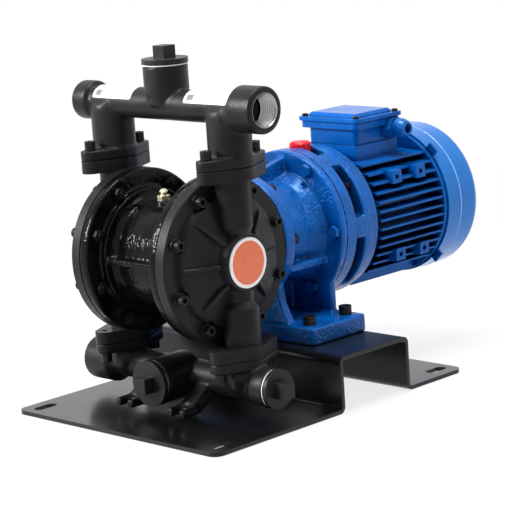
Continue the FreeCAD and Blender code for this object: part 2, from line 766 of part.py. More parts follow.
def terminal_box():
    w = box_half_width
    outer = rounded(block(-w, w, box_front, box_end, box_base, box_top), 5, lambda e: runs("Z", e))
    inner = block(-w + box_wall, w - box_wall, box_front + box_wall, box_end - box_wall, box_base + box_wall, box_top + 1)
    posts = [rod("Z", 4.5, box_base, box_top, x, y) for x, y in lid_screw_spots]
    body = fused([less(outer, [inner])] + [p.common(outer) for p in posts])
    holes = [rod("Z", small_screw[0] + thread_gap, box_top - 12, box_top + 1, x, y) for x, y in lid_screw_spots]
    holes.append(rod("X", gland_radius + thread_gap, w - box_wall - 0.1, w + 1, gland_y, gland_z))
    holes.append(rod("Z", 7, box_base - 1, box_base + box_wall + 1, 0, (box_front + box_end) / 2))
    return less(body, holes)


def lid_outline(grow, z0, z1):
    w = box_half_width + grow
    return rounded(block(-w, w, box_front - grow, box_end + grow, z0, z1), 5, lambda e: runs("Z", e))


def terminal_gasket():
    w = box_half_width - box_wall - 3
    opening = block(-w, w, box_front + box_wall + 3, box_end - box_wall - 3, box_top - 1, box_top + 2)
    holes = [rod("Z", small_screw[0] + hole_gap, box_top - 1, box_top + 2, x, y) for x, y in lid_screw_spots]
    return less(lid_outline(-1.0, box_top, box_top + gasket_thick), [opening] + holes)


def terminal_lid():
    low = box_top + gasket_thick
    high = low + lid_height
    plate = lid_outline(lid_overhang, low, low + 4)
    w = box_half_width - 6
    crown = block(-w, w, box_front + 6, box_end - 6, low + 3, high)
    crown = crown.makeChamfer(3.0, [e for e in crown.Edges if abs(e.CenterOfMass.z - high) < 0.01])
    holes = [rod("Z", small_screw[0] + hole_gap, low - 1, high + 1, x, y) for x, y in lid_screw_spots]
    notches = [rod("Z", small_screw[1] + 1, low + 4, high + 1, x, y) for x, y in lid_screw_spots]
    return less(fused([plate, crown]), holes + notches)


def terminal_lid_screws():
    seat = box_top + gasket_thick + 4
    return [cap_screw("Z", small_screw, seat, gasket_thick + 10, x, y) for x, y in lid_screw_spots]


def terminal_block():
    z = box_base + box_wall
    mid = (box_front + box_end) / 2
    parts = [block(-20, 20, mid - 24, mid - 9, z, z + 7)]
    parts += [rod("Z", 2, z + 6, z + 14, -14 + 14 * i, mid - 16.5 + 4 * j) for i in range(3) for j in (-1, 1)]
    return fused(parts)


def cable_gland():
    w = box_half_width
    stub = rod("X", gland_radius, w - box_wall, w + 1, gland_y, gland_z)
    body = polygon("X", gland_flats, 6, w, w + 6, gland_y, gland_z)
    collar = rod("X", 8.5, w + 5, w + 9, gland_y, gland_z)
    nut = spun("X", [(w + 8, 0), (w + 8, 10.2), (w + 14, 10.2), (w + 19, 8.2), (w + 21, 6.5), (w + 21, 0)], gland_y, gland_z)
    return less(fused([stub, body, collar, nut]), [rod("X", 5.0, w - box_wall - 3, w + 22, gland_y, gland_z)])


# Pump centre body with the crank chamber
def crankcase():
    y, z = pump_y, shaft_height
    half = [(0, 0), (0, drum_radius), (20, drum_radius), (24, drum_radius - 4), (centre_flange_inner - 11, drum_radius - 4),
            (centre_flange_inner - 7, drum_radius + 2), (centre_flange_inner - 7, drum_radius + 8),
            (centre_flange_inner, drum_radius + 8), (centre_flange_inner, chamber_radius - 1),
            (centre_flange_inner + 1, chamber_radius), (chamber_face, chamber_radius), (chamber_face, 0)]
    side = spun("X", half, y, z)
    neck = rod("Y", crank_neck_radius, y + 20, joint_y - 2, 0, z)
    flange = rod("Y", output_flange_radius, joint_y - crank_flange_width, joint_y, 0, z)
    cover_room = rod("X", chamber_radius + hole_gap, chamber_face, chamber_face + 40, y, z)
    flange = less(flange, [cover_room, mirrored(cover_room)])
    rib = block(-centre_flange_inner, centre_flange_inner, y - drum_radius - 7, y - drum_radius + 5, z - 3, z + 3)
    boss = rod("Z", 8, z + drum_radius - 12, z + drum_radius, 0, y - vent_back)
    body = fused([side, mirrored(side), neck, flange, rib, boss])
    cavity = rod("X", crank_cavity_radius, -crank_cavity_half, crank_cavity_half, y, z)
    passage = rod("Y", crank_bore_radius, y, joint_y + 1, 0, z)
    dish = spun("X", [(dish_floor, 0), (dish_floor, plate_radius + 3), (chamber_face - diaphragm_thick, dish_radius),
                      (chamber_face - diaphragm_thick, diaphragm_radius + free_gap),
                      (chamber_face + 1, diaphragm_radius + free_gap), (chamber_face + 1, 0)], y, z)
    bush = rod("X", bush_radius + running, crank_cavity_half - 1, dish_floor + 1, y, z)
    screws = [rod("X", cover_screw[0] + hole_gap, centre_flange_inner - 8, chamber_face + 1, a, b)
              for a, b in cover_screw_spots]
    spotfaces = [rod("X", 7.0, centre_flange_inner - 8, centre_flange_inner, a, b) for a, b in cover_screw_spots]
    right = [dish, bush] + screws + spotfaces
    bolts = [rod("Y", crank_bolt[0] + thread_gap, joint_y - crank_bolt_depth, joint_y + 1, x, h)
             for x, h in crank_bolt_spots]
    vent = rod("Z", 4 + thread_gap, z, z + drum_radius + 1, 0, y - vent_back)
    return less(body, [cavity, passage, vent] + right + [mirrored(s) for s in right] + bolts)


vent_back = 14.0
crank_bolt_depth = 5.5


def crankcase_bolts():
    length = output_flange_width + crank_bolt_depth - 0.5
    return [hex_bolt("Y", crank_bolt, neck_y, length, x, z) for x, z in crank_bolt_spots]


def vent_fitting():
    y, top = pump_y - vent_back, shaft_height + drum_radius
    stem = rod("Z", 4, top - 12, top + 1, 0, y)
    nut = polygon("Z", 11, 6, top, top + 5, 0, y)
    cap = spun("Z", [(top + 4, 0), (top + 4, 3.4), (top + 8, 3.4), (top + 9, 4.4), (top + 11, 2.5), (top + 11, 0)], 0, y)
    return fused([stem, nut, cap])


def drive_eccentric():
    y0, y1 = pump_y - crank_width / 2, pump_y + crank_width / 2 - free_gap
    body = rod("Y", crank_disc_radius, y0, y1, 0, shaft_height + crank_throw)
    return less(body, [rod("Y", crank_journal_radius + running, y0 - 1, y1 + 1, 0, shaft_height)])


def eccentric_bearing():
    y0, y1 = pump_y - crank_width / 2, pump_y + crank_width / 2 - free_gap
    return ring("Y", crank_bearing_radius, crank_disc_radius + running, y0, y1, 0, shaft_height + crank_throw)


yoke_gap_half = crank_bearing_radius + 2 * crank_throw + hole_gap
yoke_gap_height = crank_bearing_radius + crank_throw + free_gap
yoke_half = yoke_gap_half + yoke_jaw


def yoke_frame():
    y0, y1 = pump_y - crank_width / 2, pump_y + crank_width / 2
    height = yoke_gap_height + yoke_beam
    outer = block(-yoke_half, yoke_half, y0, y1, shaft_height - height, shaft_height + height)
    outer = rounded(outer, 6, lambda e: runs("Y", e))
    window = block(-yoke_gap_half, yoke_gap_half, y0 - 1, y1 + 1,
                   shaft_height - yoke_gap_height, shaft_height + yoke_gap_height)
    return less(outer, [rounded(window, 3, lambda e: runs("Y", e))])


plate_back = chamber_face - diaphragm_thick / 2 - 1.25
rod_end = plate_back + 2.5 + clamp_plate_thick + rod_nut_height + 1


def diaphragm_rods():
    body = spun("X", [(yoke_half, 0), (yoke_half, rod_radius), (plate_back - clamp_plate_thick, rod_radius),
                      (plate_back - clamp_plate_thick, rod_radius - 2), (rod_end, rod_radius - 2), (rod_end, 0)],
                pump_y, shaft_height)
    return [body, mirrored(body)]


def rod_bushes():
    bush = ring("X", bush_radius, rod_radius + running, crank_cavity_half, dish_floor, pump_y, shaft_height)
    return [bush, mirrored(bush)]


def diaphragm():
    """Rubber disc with a clamped rim, a rolled convolution and a flat middle."""
    back, front = chamber_face - diaphragm_thick, chamber_face
    low, high = plate_back, plate_back + 2.5
    inner = rod_radius - 2 + running
    roll = plate_radius + 3
    profile = [(low, inner), (low, roll), (low - 3.2, roll + 5), (low - 3.2, roll + 8), (back, dish_radius - 1),
               (back, diaphragm_radius), (front, diaphragm_radius), (front, dish_radius - 1), (high - 3.2, roll + 7),
               (high - 3.2, roll + 6), (high, roll + 1), (high, inner)]
    return spun("X", profile, pump_y, shaft_height)


def diaphragm_plates():
    y, z = pump_y, shaft_height
    inner = rod_radius - 2 + running
    low, high = plate_back, plate_back + 2.5
    back = spun("X", [(low - clamp_plate_thick, inner), (low - clamp_plate_thick, plate_radius - 4),
                      (low - 1.5, plate_radius), (low, plate_radius), (low, inner)], y, z)
    front = spun("X", [(high, inner), (high, plate_radius - 2), (high + 1.5, plate_radius - 2),
                       (high + clamp_plate_thick, plate_radius - 8), (high + clamp_plate_thick, inner)], y, z)
    nut_start = high + clamp_plate_thick
    nut = polygon("X", rod_nut_flats, 6, nut_start, nut_start + rod_nut_height, y, z).cut(
        rod("X", inner, nut_start - 1, nut_start + rod_nut_height + 1, y, z))
    right = [back, front, nut]
    return right + [mirrored(s) for s in right]


def two_bolt_flange(x, y, z0, z1):
    """Oval flange: a round middle and a round lug at each end along Y."""
    pitch = flange_bolt_pitch / 2
    lean = math.degrees(math.acos((flange_mid_radius - flange_lug_radius) / pitch))
    corners = []
    for side in (1, -1):
        corners.append(spot(flange_mid_radius, 90 * side - lean, x, y))
        corners.append(spot(flange_lug_radius, 90 * side - lean, x, y + side * pitch))
        corners.append(spot(flange_lug_radius, 90 * side + lean, x, y + side * pitch))
        corners.append(spot(flange_mid_radius, 90 * side + lean, x, y))
    body = [prism("Z", corners, z0, z1), rod("Z", flange_mid_radius, z0, z1, x, y)]
    body += [rod("Z", flange_lug_radius, z0, z1, x, y + side * pitch) for side in (-1, 1)]
    return fused(body)


def cage(z, way):
    """Room round a valve ball, with cross slots beyond its stop so that liquid passes."""
    stop = z + way * ball_stop
    low, high = sorted((z, stop))
    a, b = sorted((stop - way, stop + way * 8))
    chamber = rod("Z", ball_chamber, low, high, port_x, pump_y)
    slots = [block(port_x - ball_chamber + 1, port_x + ball_chamber - 1, pump_y - 2.5, pump_y + 2.5, a, b),
             block(port_x - 2.5, port_x + 2.5, pump_y - ball_chamber + 1, pump_y + ball_chamber - 1, a, b)]
    return [chamber] + slots


ball_lift = math.sqrt(ball_radius ** 2 - seat_bore ** 2) + ball_rest_gap
ball_stop = ball_lift + ball_travel + math.sqrt(ball_radius ** 2 - duct_bore ** 2) + free_gap


def chamber_cover():
    """Ribbed cover of the chamber on the +X side; the other one is its mirror image."""
    y, z = pump_y, shaft_height
    outer = [(chamber_face, 0), (chamber_face, chamber_radius), (cover_outer - 1.5, chamber_radius),
             (cover_outer, chamber_radius - 1.5), (cover_outer, bowl_radius + 0.5), (cover_outer + 5, bowl_radius - 1),
             (cover_outer + 6.5, bowl_radius - 4), (cover_outer + 14, boss_radius + 6), (cover_outer + 18, boss_radius + 1),
             (boss_face - 1, boss_radius), (boss_face, boss_radius - 1), (boss_face, 0)]
    bowl = spun("X", outer, y, z)
    screw_rooms = [rod("X", 8.5, cover_outer + 1.0, cover_outer + 30, a, b) for a, b in cover_screw_spots]
    bowl = less(bowl, screw_rooms)
    bosses = [rod("X", 6.8, cover_outer - 2, screw_seat, a, b) for a, b in cover_screw_spots]
    rib = prism("Z", [(boss_face - 5, y + boss_radius - 2), (cover_outer + 5.4, y + bowl_radius - 2),
                      (cover_outer - 1, y + bowl_radius - 2), (cover_outer - 1, y + boss_radius - 2)],
                z - cover_rib_thick / 2, z + cover_rib_thick / 2)
    ribs = [rib.rotated(V(0, y, z), V(1, 0, 0), a) for a in rib_angles]
    top_flange = two_bolt_flange(port_x, y, top_joint - port_flange_width, top_joint)
    low_flange = two_bolt_flange(port_x, y, bottom_joint, bottom_joint + port_flange_width)
    root = boss_face - port_x
    necks = [spun("Z", [(z + badge_radius + 0.5, 0), (z + badge_radius + 0.5, root), (z + boss_radius + 6, upper_neck_radius),
                        (top_joint - 1, upper_neck_radius), (top_joint - 1, 0)], port_x, y),
             rod("Z", lower_neck_radius, bottom_joint + 1, lower_duct_height, port_x, y),
             spun("Z", [(lower_duct_height - 3, 0), (lower_duct_height - 3, lower_neck_radius),
                        (lower_duct_height, lower_neck_radius), (lower_duct_height + 6, root),
                        (z - badge_radius - 0.5, root), (z - badge_radius - 0.5, 0)], port_x, y)]
    body = fused([bowl] + bosses + ribs + [top_flange, low_flange] + necks)
    hollow = [(chamber_face - 1, 0), (chamber_face - 1, dish_radius), (chamber_face + 8, dish_radius - 1),
              (cover_outer + 14 - cover_wall, boss_radius + 4), (boss_face - 17, boss_radius - 8), (boss_face - 17, 0)]
    rooms = [spun("X", hollow, y, z), rod("Z", duct_bore, z + 20, top_joint + 1, port_x, y),
             rod("Z", duct_bore, bottom_joint + ball_stop - 1, z - 20, port_x, y),
             rod("Z", seat_radius + thread_gap, top_joint - seat_width, top_joint + 1, port_x, y)]
    rooms += cage(bottom_joint, 1)
    rooms += [rod("X", cover_screw[0] + hole_gap, chamber_face - 1, cover_outer + 10, a, b) for a, b in cover_screw_spots]
    for offset in port_bolt_offsets:
        rooms.append(rod("Z", port_screw[0] + thread_gap, top_joint - port_flange_width - 1, top_joint + 1,
                         port_x, y + offset))
        rooms.append(rod("Z", port_screw[0] + thread_gap, bottom_joint - 1, bottom_joint + port_flange_width + 1,
                         port_x, y + offset))
    return less(body, rooms)


screw_seat = cover_outer + 3.0


def cover_screws():
    length = screw_seat - centre_flange_inner + 7
    right = [cap_screw("X", cover_screw, screw_seat, length, a, b) for a, b in cover_screw_spots]
    return right + [mirrored(s) for s in right]


def cover_nuts():
    right = [hex_nut("X", cover_screw[0], 10.0, centre_flange_inner - 5, centre_flange_inner, a, b)
             for a, b in cover_screw_spots]
    return right + [mirrored(s) for s in right]


def manifold_body(pipe_z, joint, way):
    """Pipe with a large open collar at +X, a small one at -X and two necks down to the joint."""
    y = pump_y
    pipe = rod("X", pipe_radius, -small_collar_start - 1, large_collar_start + 1, y, pipe_z)
    large = spun("X", [(large_collar_start - 8, 0), (large_collar_start - 8, pipe_radius), (large_collar_start, large_collar_radius),
                       (large_collar_end - 1, large_collar_radius), (large_collar_end, large_collar_radius - 1),
                       (large_collar_end, 0)], y, pipe_z)
    small = spun("X", [(-small_collar_end, 0), (-small_collar_end, small_collar_radius - 1),
                       (-small_collar_end + 1, small_collar_radius), (-small_collar_start, small_collar_radius),
                       (-small_collar_start + 6, pipe_radius), (-small_collar_start + 6, 0)], y, pipe_z)
    pieces = [pipe, large, small]
    crown = pipe_z + way * (pipe_radius - 1)
    for x in (-port_x, port_x):
        profile = [(joint, 0), (joint, neck_outer_radius), (pipe_z - way * 6, neck_outer_radius),
                   (pipe_z + way * 2, neck_outer_radius - 2), (pipe_z + way * 9, neck_outer_radius - 7),
                   (crown, neck_outer_radius - 14), (crown, 0)]
        pieces.append(spun("Z", profile, x, y))
        low, high = sorted((joint, joint + way * manifold_flange_width))
        pieces.append(two_bolt_flange(x, y, low, high))
    return pieces


def manifold_rooms(pipe_z, joint, way):
    y = pump_y
    rooms = [rod("X", pipe_bore, -small_collar_start + 4, large_collar_end + 1, y, pipe_z),
             rod("X", port_thread_radius, large_collar_end - port_thread_depth, large_collar_end + 1, y, pipe_z)]
    for x in (-port_x, port_x):
        low, high = sorted((joint - way, joint + way * (manifold_flange_width + 1)))
        rooms += [rod("Z", port_screw[0] + hole_gap, low, high, x, y + offset) for offset in port_bolt_offsets]
    return rooms


def top_manifold():
    y, z = pump_y, top_pipe_height
    boss = rod("Z", middle_boss_radius, z, z + top_boss_height, 0, y)
    flare = spun("Z", [(z, 0), (z, middle_boss_radius - 3), (z + 8, middle_boss_radius - 3),
                       (z + 12, middle_boss_radius), (z + 12, 0)], 0, y)
    boss = fused([rod("Z", middle_boss_radius, z + 12, z + top_boss_height, 0, y), flare])
    body = fused(manifold_body(z, top_joint, 1) + [boss])
    rooms = manifold_rooms(z, top_joint, 1)
    cages = cage(top_joint, 1)
    duct = rod("Z", duct_bore, top_joint + ball_stop - 1, z, port_x, y)
    rooms += cages + [duct] + [mirrored(s) for s in cages + [duct]]
    rooms.append(rod("Z", port_thread_radius + 0.8, z + top_boss_height - 14, z + top_boss_height + 1, 0, y))
    rooms.append(rod("Z", pipe_bore, z, z + top_boss_height - 13, 0, y))
    return less(body, rooms)


def manifold_foot(x):
    """Arm from the pipe down to a pad with a slot open to the front."""
    y, z = pump_y, bottom_pipe_height
    tip = y - manifold_foot_reach
    base, top = manifold_foot_base, manifold_foot_base + manifold_foot_thick
    pad_y = tip + manifold_foot_radius
    r = manifold_foot_radius
    pad = block(x - r, x + r, tip + 3, pad_y + 12, base, top)
    arm = prism("X", [(pad_y + 6, base), (pad_y + 6, top), (y - 6, z + 4), (y + 4, z - 6), (pad_y + 18, base)],
                x - 9, x + 9)
    slot = block(x - manifold_foot_slot / 2, x + manifold_foot_slot / 2, tip - 1, pad_y, base - 1, top + 1)
    slot = slot.fuse(rod("Z", manifold_foot_slot / 2, base - 1, top + 1, x, pad_y))
    washer_room = rod("Z", r - 3, top - 1.5, top + 20, x, pad_y)
    return less(fused([pad, arm]), [slot, washer_room])


def bottom_manifold():
    y, z = pump_y, bottom_pipe_height
    pieces = [mirrored(p) for p in manifold_body(z, bottom_joint, -1)]
    boss = rod("Y", middle_boss_radius + 1, y - front_boss_length, y, 0, z)
    body = fused(pieces + [boss, manifold_foot(-manifold_foot_x), manifold_foot(manifold_foot_x)])
    rooms = [mirrored(s) for s in manifold_rooms(z, bottom_joint, -1)]
    for x in (-port_x, port_x):
        rooms.append(rod("Z", duct_bore, z, bottom_joint + 1, x, y))
        rooms.append(rod("Z", seat_radius + thread_gap, bottom_joint - seat_width, bottom_joint + 1, x, y))
    rooms.append(rod("Y", port_thread_radius + 0.8, y - front_boss_length - 1, y - front_boss_length + 14, 0, z))
    rooms.append(rod("Y", pipe_bore, y - front_boss_length + 13, y, 0, z))
    rooms.append(rod("X", pipe_bore, small_collar_start - 5, small_collar_end, y, z))
    rooms.append(rod("X", end_plug_thread + thread_gap, small_collar_end - 14, small_collar_end + 1, y, z))
    return less(body, rooms)


def manifold_bolts():
    bolts = []
    reach = manifold_flange_width + port_flange_width - 1
    for x in (-port_x, port_x):
        for offset in port_bolt_offsets:
            bolts.append(cap_screw("Z", port_screw, top_joint + manifold_flange_width, reach, x, pump_y + offset))
            bolts.append(cap_screw("Z", port_screw, bottom_joint - manifold_flange_width, reach, x, pump_y + offset, -1))
    return bolts


def plug(axis, face, way, thread, disc, u, v):
    """Threaded plug with a round shoulder and a square head."""
    def span(a, b):
        return sorted((face + way * a, face + way * b))

    shoulder = plug_ring_width + plug_disc_width
    stub = rod(axis, thread, *span(-plug_stub, plug_ring_width + 1), u, v)
    body = rod(axis, disc, *span(plug_ring_width, shoulder), u, v)
    head = polygon(axis, plug_head, 4, *span(shoulder - 1, shoulder + plug_head_height), u, v, 45)
    return fused([stub, body, head])


def port_plugs():
    thread = port_thread_radius + 0.8 - thread_gap
    return [plug("Z", top_pipe_height + top_boss_height, 1, thread, middle_boss_radius + 0.7, 0, pump_y),
            plug("Y", pump_y - front_boss_length, -1, thread, middle_boss_radius + 1, 0, bottom_pipe_height),
            plug("X", small_collar_end, 1, end_plug_thread, small_collar_radius, pump_y, bottom_pipe_height)]


def plug_seals():
    bore = port_thread_radius + 0.8
    face = top_pipe_height + top_boss_height
    front = pump_y - front_boss_length
    return [ring("Z", middle_boss_radius, bore, face, face + plug_ring_width, 0, pump_y),
            ring("Y", middle_boss_radius, bore, front - plug_ring_width, front, 0, bottom_pipe_height),
            ring("X", small_collar_radius - 0.5, end_plug_thread + thread_gap, small_collar_end,
                 small_collar_end + plug_ring_width, pump_y, bottom_pipe_height)]


def valve_seats():
    top = ring("Z", seat_radius, seat_bore, top_joint - seat_width, top_joint, port_x, pump_y)
    low = ring("Z", seat_radius, seat_bore, bottom_joint - seat_width, bottom_joint, port_x, pump_y)
    return [top, low, mirrored(top), mirrored(low)]


def valve_ball(x, joint):
    return Part.makeSphere(ball_radius, V(x, pump_y, joint + ball_lift))


def name_badge():
    badge = rod("X", badge_radius, boss_face, boss_face + badge_thick, pump_y, shaft_height)
    return badge


right_cover = chamber_cover()

nodes = {
    "base_plate": [base_plate()],
    "foot_bolts": foot_bolts(),
    "foot_nuts": foot_nuts(),
    "gearbox_housing": [gearbox_housing()],
    "gearbox_pin_ring": [gearbox_pin_ring()],
    "ring_pins": ring_pins(),
    "gearbox_bolts": gearbox_bolts(),
    "motor_adapter": [motor_adapter()],
    "breather_cap": [breather_cap()],
    "output_shaft": [output_shaft()],
    "output_rollers": output_rollers(),
    "output_bearings": output_bearings(),
    "output_oil_seal": [output_oil_seal()],
    "cycloid_disc_front": [cycloid_disc(disc_front_y, 1)],
    "cycloid_disc_rear": [cycloid_disc(disc_rear_y, -1)],
    "double_eccentric": [double_eccentric()],
    "input_oil_seal": [input_oil_seal()],
    "motor_flange": [motor_flange()],
    "motor_flange_bolts": motor_flange_bolts(),
    "motor_housing": [motor_housing()],
    "stator_core": [stator_core()],
    "stator_windings": stator_windings(),
    "rotor_core": [rotor_core()],
    "motor_shaft": [motor_shaft()],
    "motor_bearings": motor_bearings(),
    "rear_endshield": [rear_endshield()],
    "cooling_fan": [cooling_fan()],
    "fan_cover": [fan_cover()],
    "fan_cover_screws": fan_cover_screws(),
    "terminal_box": [terminal_box()],
    "terminal_gasket": [terminal_gasket()],
    "terminal_lid": [terminal_lid()],
    "terminal_lid_screws": terminal_lid_screws(),
    "terminal_block": [terminal_block()],
    "cable_gland": [cable_gland()],
    "crankcase": [crankcase()],
    "crankcase_bolts": crankcase_bolts(),
    "vent_fitting": [vent_fitting()],
    "drive_eccentric": [drive_eccentric()],
    "eccentric_bearing": [eccentric_bearing()],
    "yoke_frame": [yoke_frame()],
    "diaphragm_rods": diaphragm_rods(),
    "rod_bushes": rod_bushes(),
    "diaphragms": [diaphragm(), mirrored(diaphragm())],
    "diaphragm_plates": diaphragm_plates(),
    "chamber_cover_right": [right_cover],
    "chamber_cover_left": [mirrored(right_cover)],
    "cover_screws": cover_screws(),
    "cover_nuts": cover_nuts(),
    "top_manifold": [top_manifold()],
    "bottom_manifold": [bottom_manifold()],
    "manifold_bolts": manifold_bolts(),
    "port_plugs": port_plugs(),
    "plug_seals": plug_seals(),
    "valve_seats": valve_seats(),
    "outlet_ball_right": [valve_ball(port_x, top_joint)],
    "outlet_ball_left": [valve_ball(-port_x, top_joint)],
    "inlet_ball_right": [valve_ball(port_x, bottom_joint)],
    "inlet_ball_left": [valve_ball(-port_x, bottom_joint)],
    "name_badge": [name_badge()],
}

for name, shapes in nodes.items():
    save(name, shapes)
    print(name, len(shapes), [s.isValid() for s in shapes].count(False), round(sum(s.Volume for s in shapes), 1))
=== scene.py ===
import json
import math

import bmesh
import bpy
from mathutils import Matrix, Vector
from mathutils.bvhtree import BVHTree


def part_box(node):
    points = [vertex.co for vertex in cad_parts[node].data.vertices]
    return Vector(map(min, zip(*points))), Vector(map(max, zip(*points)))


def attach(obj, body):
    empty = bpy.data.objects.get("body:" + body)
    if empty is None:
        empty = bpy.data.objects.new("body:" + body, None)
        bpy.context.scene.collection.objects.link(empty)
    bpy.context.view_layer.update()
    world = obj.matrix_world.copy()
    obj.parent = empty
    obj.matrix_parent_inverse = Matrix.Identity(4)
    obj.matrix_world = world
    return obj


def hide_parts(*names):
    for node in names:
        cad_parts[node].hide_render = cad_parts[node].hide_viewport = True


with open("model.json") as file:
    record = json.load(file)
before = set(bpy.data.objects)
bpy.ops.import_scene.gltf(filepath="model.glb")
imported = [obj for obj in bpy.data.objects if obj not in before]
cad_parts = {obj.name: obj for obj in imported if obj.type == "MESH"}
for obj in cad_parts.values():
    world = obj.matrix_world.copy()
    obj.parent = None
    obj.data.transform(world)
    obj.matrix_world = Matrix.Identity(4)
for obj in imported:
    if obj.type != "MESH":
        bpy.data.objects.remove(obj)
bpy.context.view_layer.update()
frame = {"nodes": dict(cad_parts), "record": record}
NODES = frame["nodes"]
scene = bpy.context.scene
MM = 0.001

# Places in the CAD model, in metres.
PUMP_Y = -0.131  # vertical plane through both ports
SHAFT_Z = 0.155  # axis of the motor, the gear unit and both covers
PORT_TOP, PORT_LOW = 0.299, 0.0375  # heights of the discharge and suction pipes
PORT_X = 0.128  # where the thread of an open port starts
NECK_X = 0.080  # middle of each neck under the discharge pipe
BOSS_X = 0.093  # outer face of a cover's boss

# Camera: fitted to the photograph, aimed at a point in the row frame.
AZ, EL, ROLL = math.radians(45.2), math.radians(11.26), math.radians(-3.77)
AIM = Vector((0, -0.0315, 0.1371))
DISTANCE = 2.1106
FOCAL_PX, PICTURE_PX = 2126.7, 505
SENSOR_MM = 36
CLIP_NEAR, CLIP_FAR = 0.05, 50

# Materials: noise ranges, scales and strengths that all finishes share.
SPECK_SHARE, SPECK_RANGE = 0.35, (0.55, 0.8)  # dust, as a share of the grain's scale
# Painted shade: ambient occlusion darkens the colour in recesses, spread over this range.
HOLLOW_SHADE_SAMPLES, HOLLOW_SHADE_RANGE = 6, (0.15, 0.75)
ROUGH_SKIN_SCALE, ROUGH_SKIN_RANGE = 22, (0.42, 0.6)  # where a cast skin is rough
EDGE_SAMPLES = 4
GRAIN_STRENGTH = 0.6
LEAST_ROUGH = 0.02

# Port thread (G1): root, crest, pitch and depth, and the chamfer at the mouth in mm.
THREAD_ROOT, THREAD_CREST = 15.2 * MM - 0.00005, 14.25 * MM
THREAD_PITCH, THREAD_DEPTH, THREAD_STEPS = 2.309 * MM, 19.5 * MM, 72
THREAD_FORM = ((0.0, THREAD_ROOT), (0.36, THREAD_CREST), (0.50, THREAD_CREST), (0.86, THREAD_ROOT),
               (1.0, THREAD_ROOT))
THREAD_MOUTH = ((16.2, 0.12), (15.9, 0.15), (15.15, -0.9), (15.12, -1.8))

# Pipe labels: the arc they cover, and their pattern in cells.
LABEL_FROM, LABEL_TO = math.radians(18), math.radians(118)
LABEL_RADIUS, LABEL_THICK, LABEL_CORNER = 15.05 * MM, 0.16 * MM, 2.2 * MM
LABEL_COLUMNS, LABEL_ROWS = 96, 60
LABEL_BORDER, LABEL_DIVIDER = 3, 22
PATCH_COLUMNS, PATCH_ROWS = range(6, 20), range(6, 21)

# Badge: (radius, height) in mm of its rim and of its slightly domed face.
BADGE_RIM = ((24, 0), (24, 0.9), (23.6, 1.25), (21.0, 1.25), (20.7, 1.05))
BADGE_FACE = ((20.7, 1.05), (18, 1.2), (12, 1.4), (6, 1.5), (0.01, 1.52))

# Motor: the fan cover against its node, the fins under it, and its rolled seam.
COVER_SCALE = 0.94
FIN_ROOT, FIN_KEPT, FIN_TOP_Z = 0.0595, 0.83, 0.222
FIN_END, FIN_RUN_IN = 0.012, 0.009
SHIELD_EDGE, SHIELD_GROWTH = 0.069, 0.0030
SEAM_BACK, SEAM_STEPS = 0.030, 144
SEAM_PROFILE = ((-0.0012, -0.0011), (0.0001, -0.0007), (0.0005, 0), (0.0001, 0.0007), (-0.0012, 0.0011))

# Terminal box: the rim's depth, the share kept below it, the step between, and the gland's stub.
BOX_RIM, BOX_INSET, BOX_STEP, GLAND_STUB = 0.0065, 0.84, 0.0012, 0.004

# Castings: remeshing, the share of faces kept, and the passes that melt joins together.
PIPE_VOXEL, PIPE_KEPT, PIPE_MELT = 0.0012, 0.3, 14
CAST_VOXEL, CAST_KEPT = 0.0013, 0.35
SMOOTH_FACTOR, LEVEL_PASSES = 0.5, 2
CASTINGS = (("bottom_manifold", "suction_manifold_skin", 4), ("crankcase", "crankcase_skin", 3),
            ("gearbox_housing", "gear_housing_skin", 3), ("motor_adapter", "adapter_skin", 2))

# Cover ribs: where they run, how they rise above the bowl, and their section.
RIB_ANGLES = (0, 45, 135, 180, 225, 315)
RIB_INNER, BOSS_EDGE, RIB_OUTER, RIB_STEPS = 0.0270, 0.0290, 0.0615, 14
RIB_RISE, RIB_RUN_OUT, RIB_END = 0.0046, 2.6, 0.12
RIB_BESIDE = math.radians(7)  # the cover's surface is felt on both sides of a rib
RIB_ROOT, RIB_SIDE, RIB_TOP = 0.0025, 0.0023, 0.0015
RIB_SUNK, RIB_ROUND = 0.0012, 0.0009
FEELER_X = 0.2

# Studio: lamps as (name, place, size, power), all aimed at the object's middle.
LAMP_AIM = (0, 0, 0.15)
LAMPS = (("key", (-1.15, -1.85, 1.25), 0.8, 95), ("top", (0.2, -0.1, 2.0), 0.9, 45),
         ("fill", (1.5, 0.6, 1.4), 0.7, 7))
SKY_COLOUR, SKY_STRENGTH = (0.93, 0.96, 1.0, 1), 0.10
WHITE = (1, 1, 1, 1)
FLOOR_COLOUR, FLOOR_ROUGH = (0.86, 0.86, 0.87, 1), 0.6
FLOOR_Z, FLOOR_REACH, FLOOR_STEPS = -0.0006, 6.0, 64
FLOOR_GLOW = (0.78, 1.0, 0.25, 0.9)  # share that shines by itself, from near to far

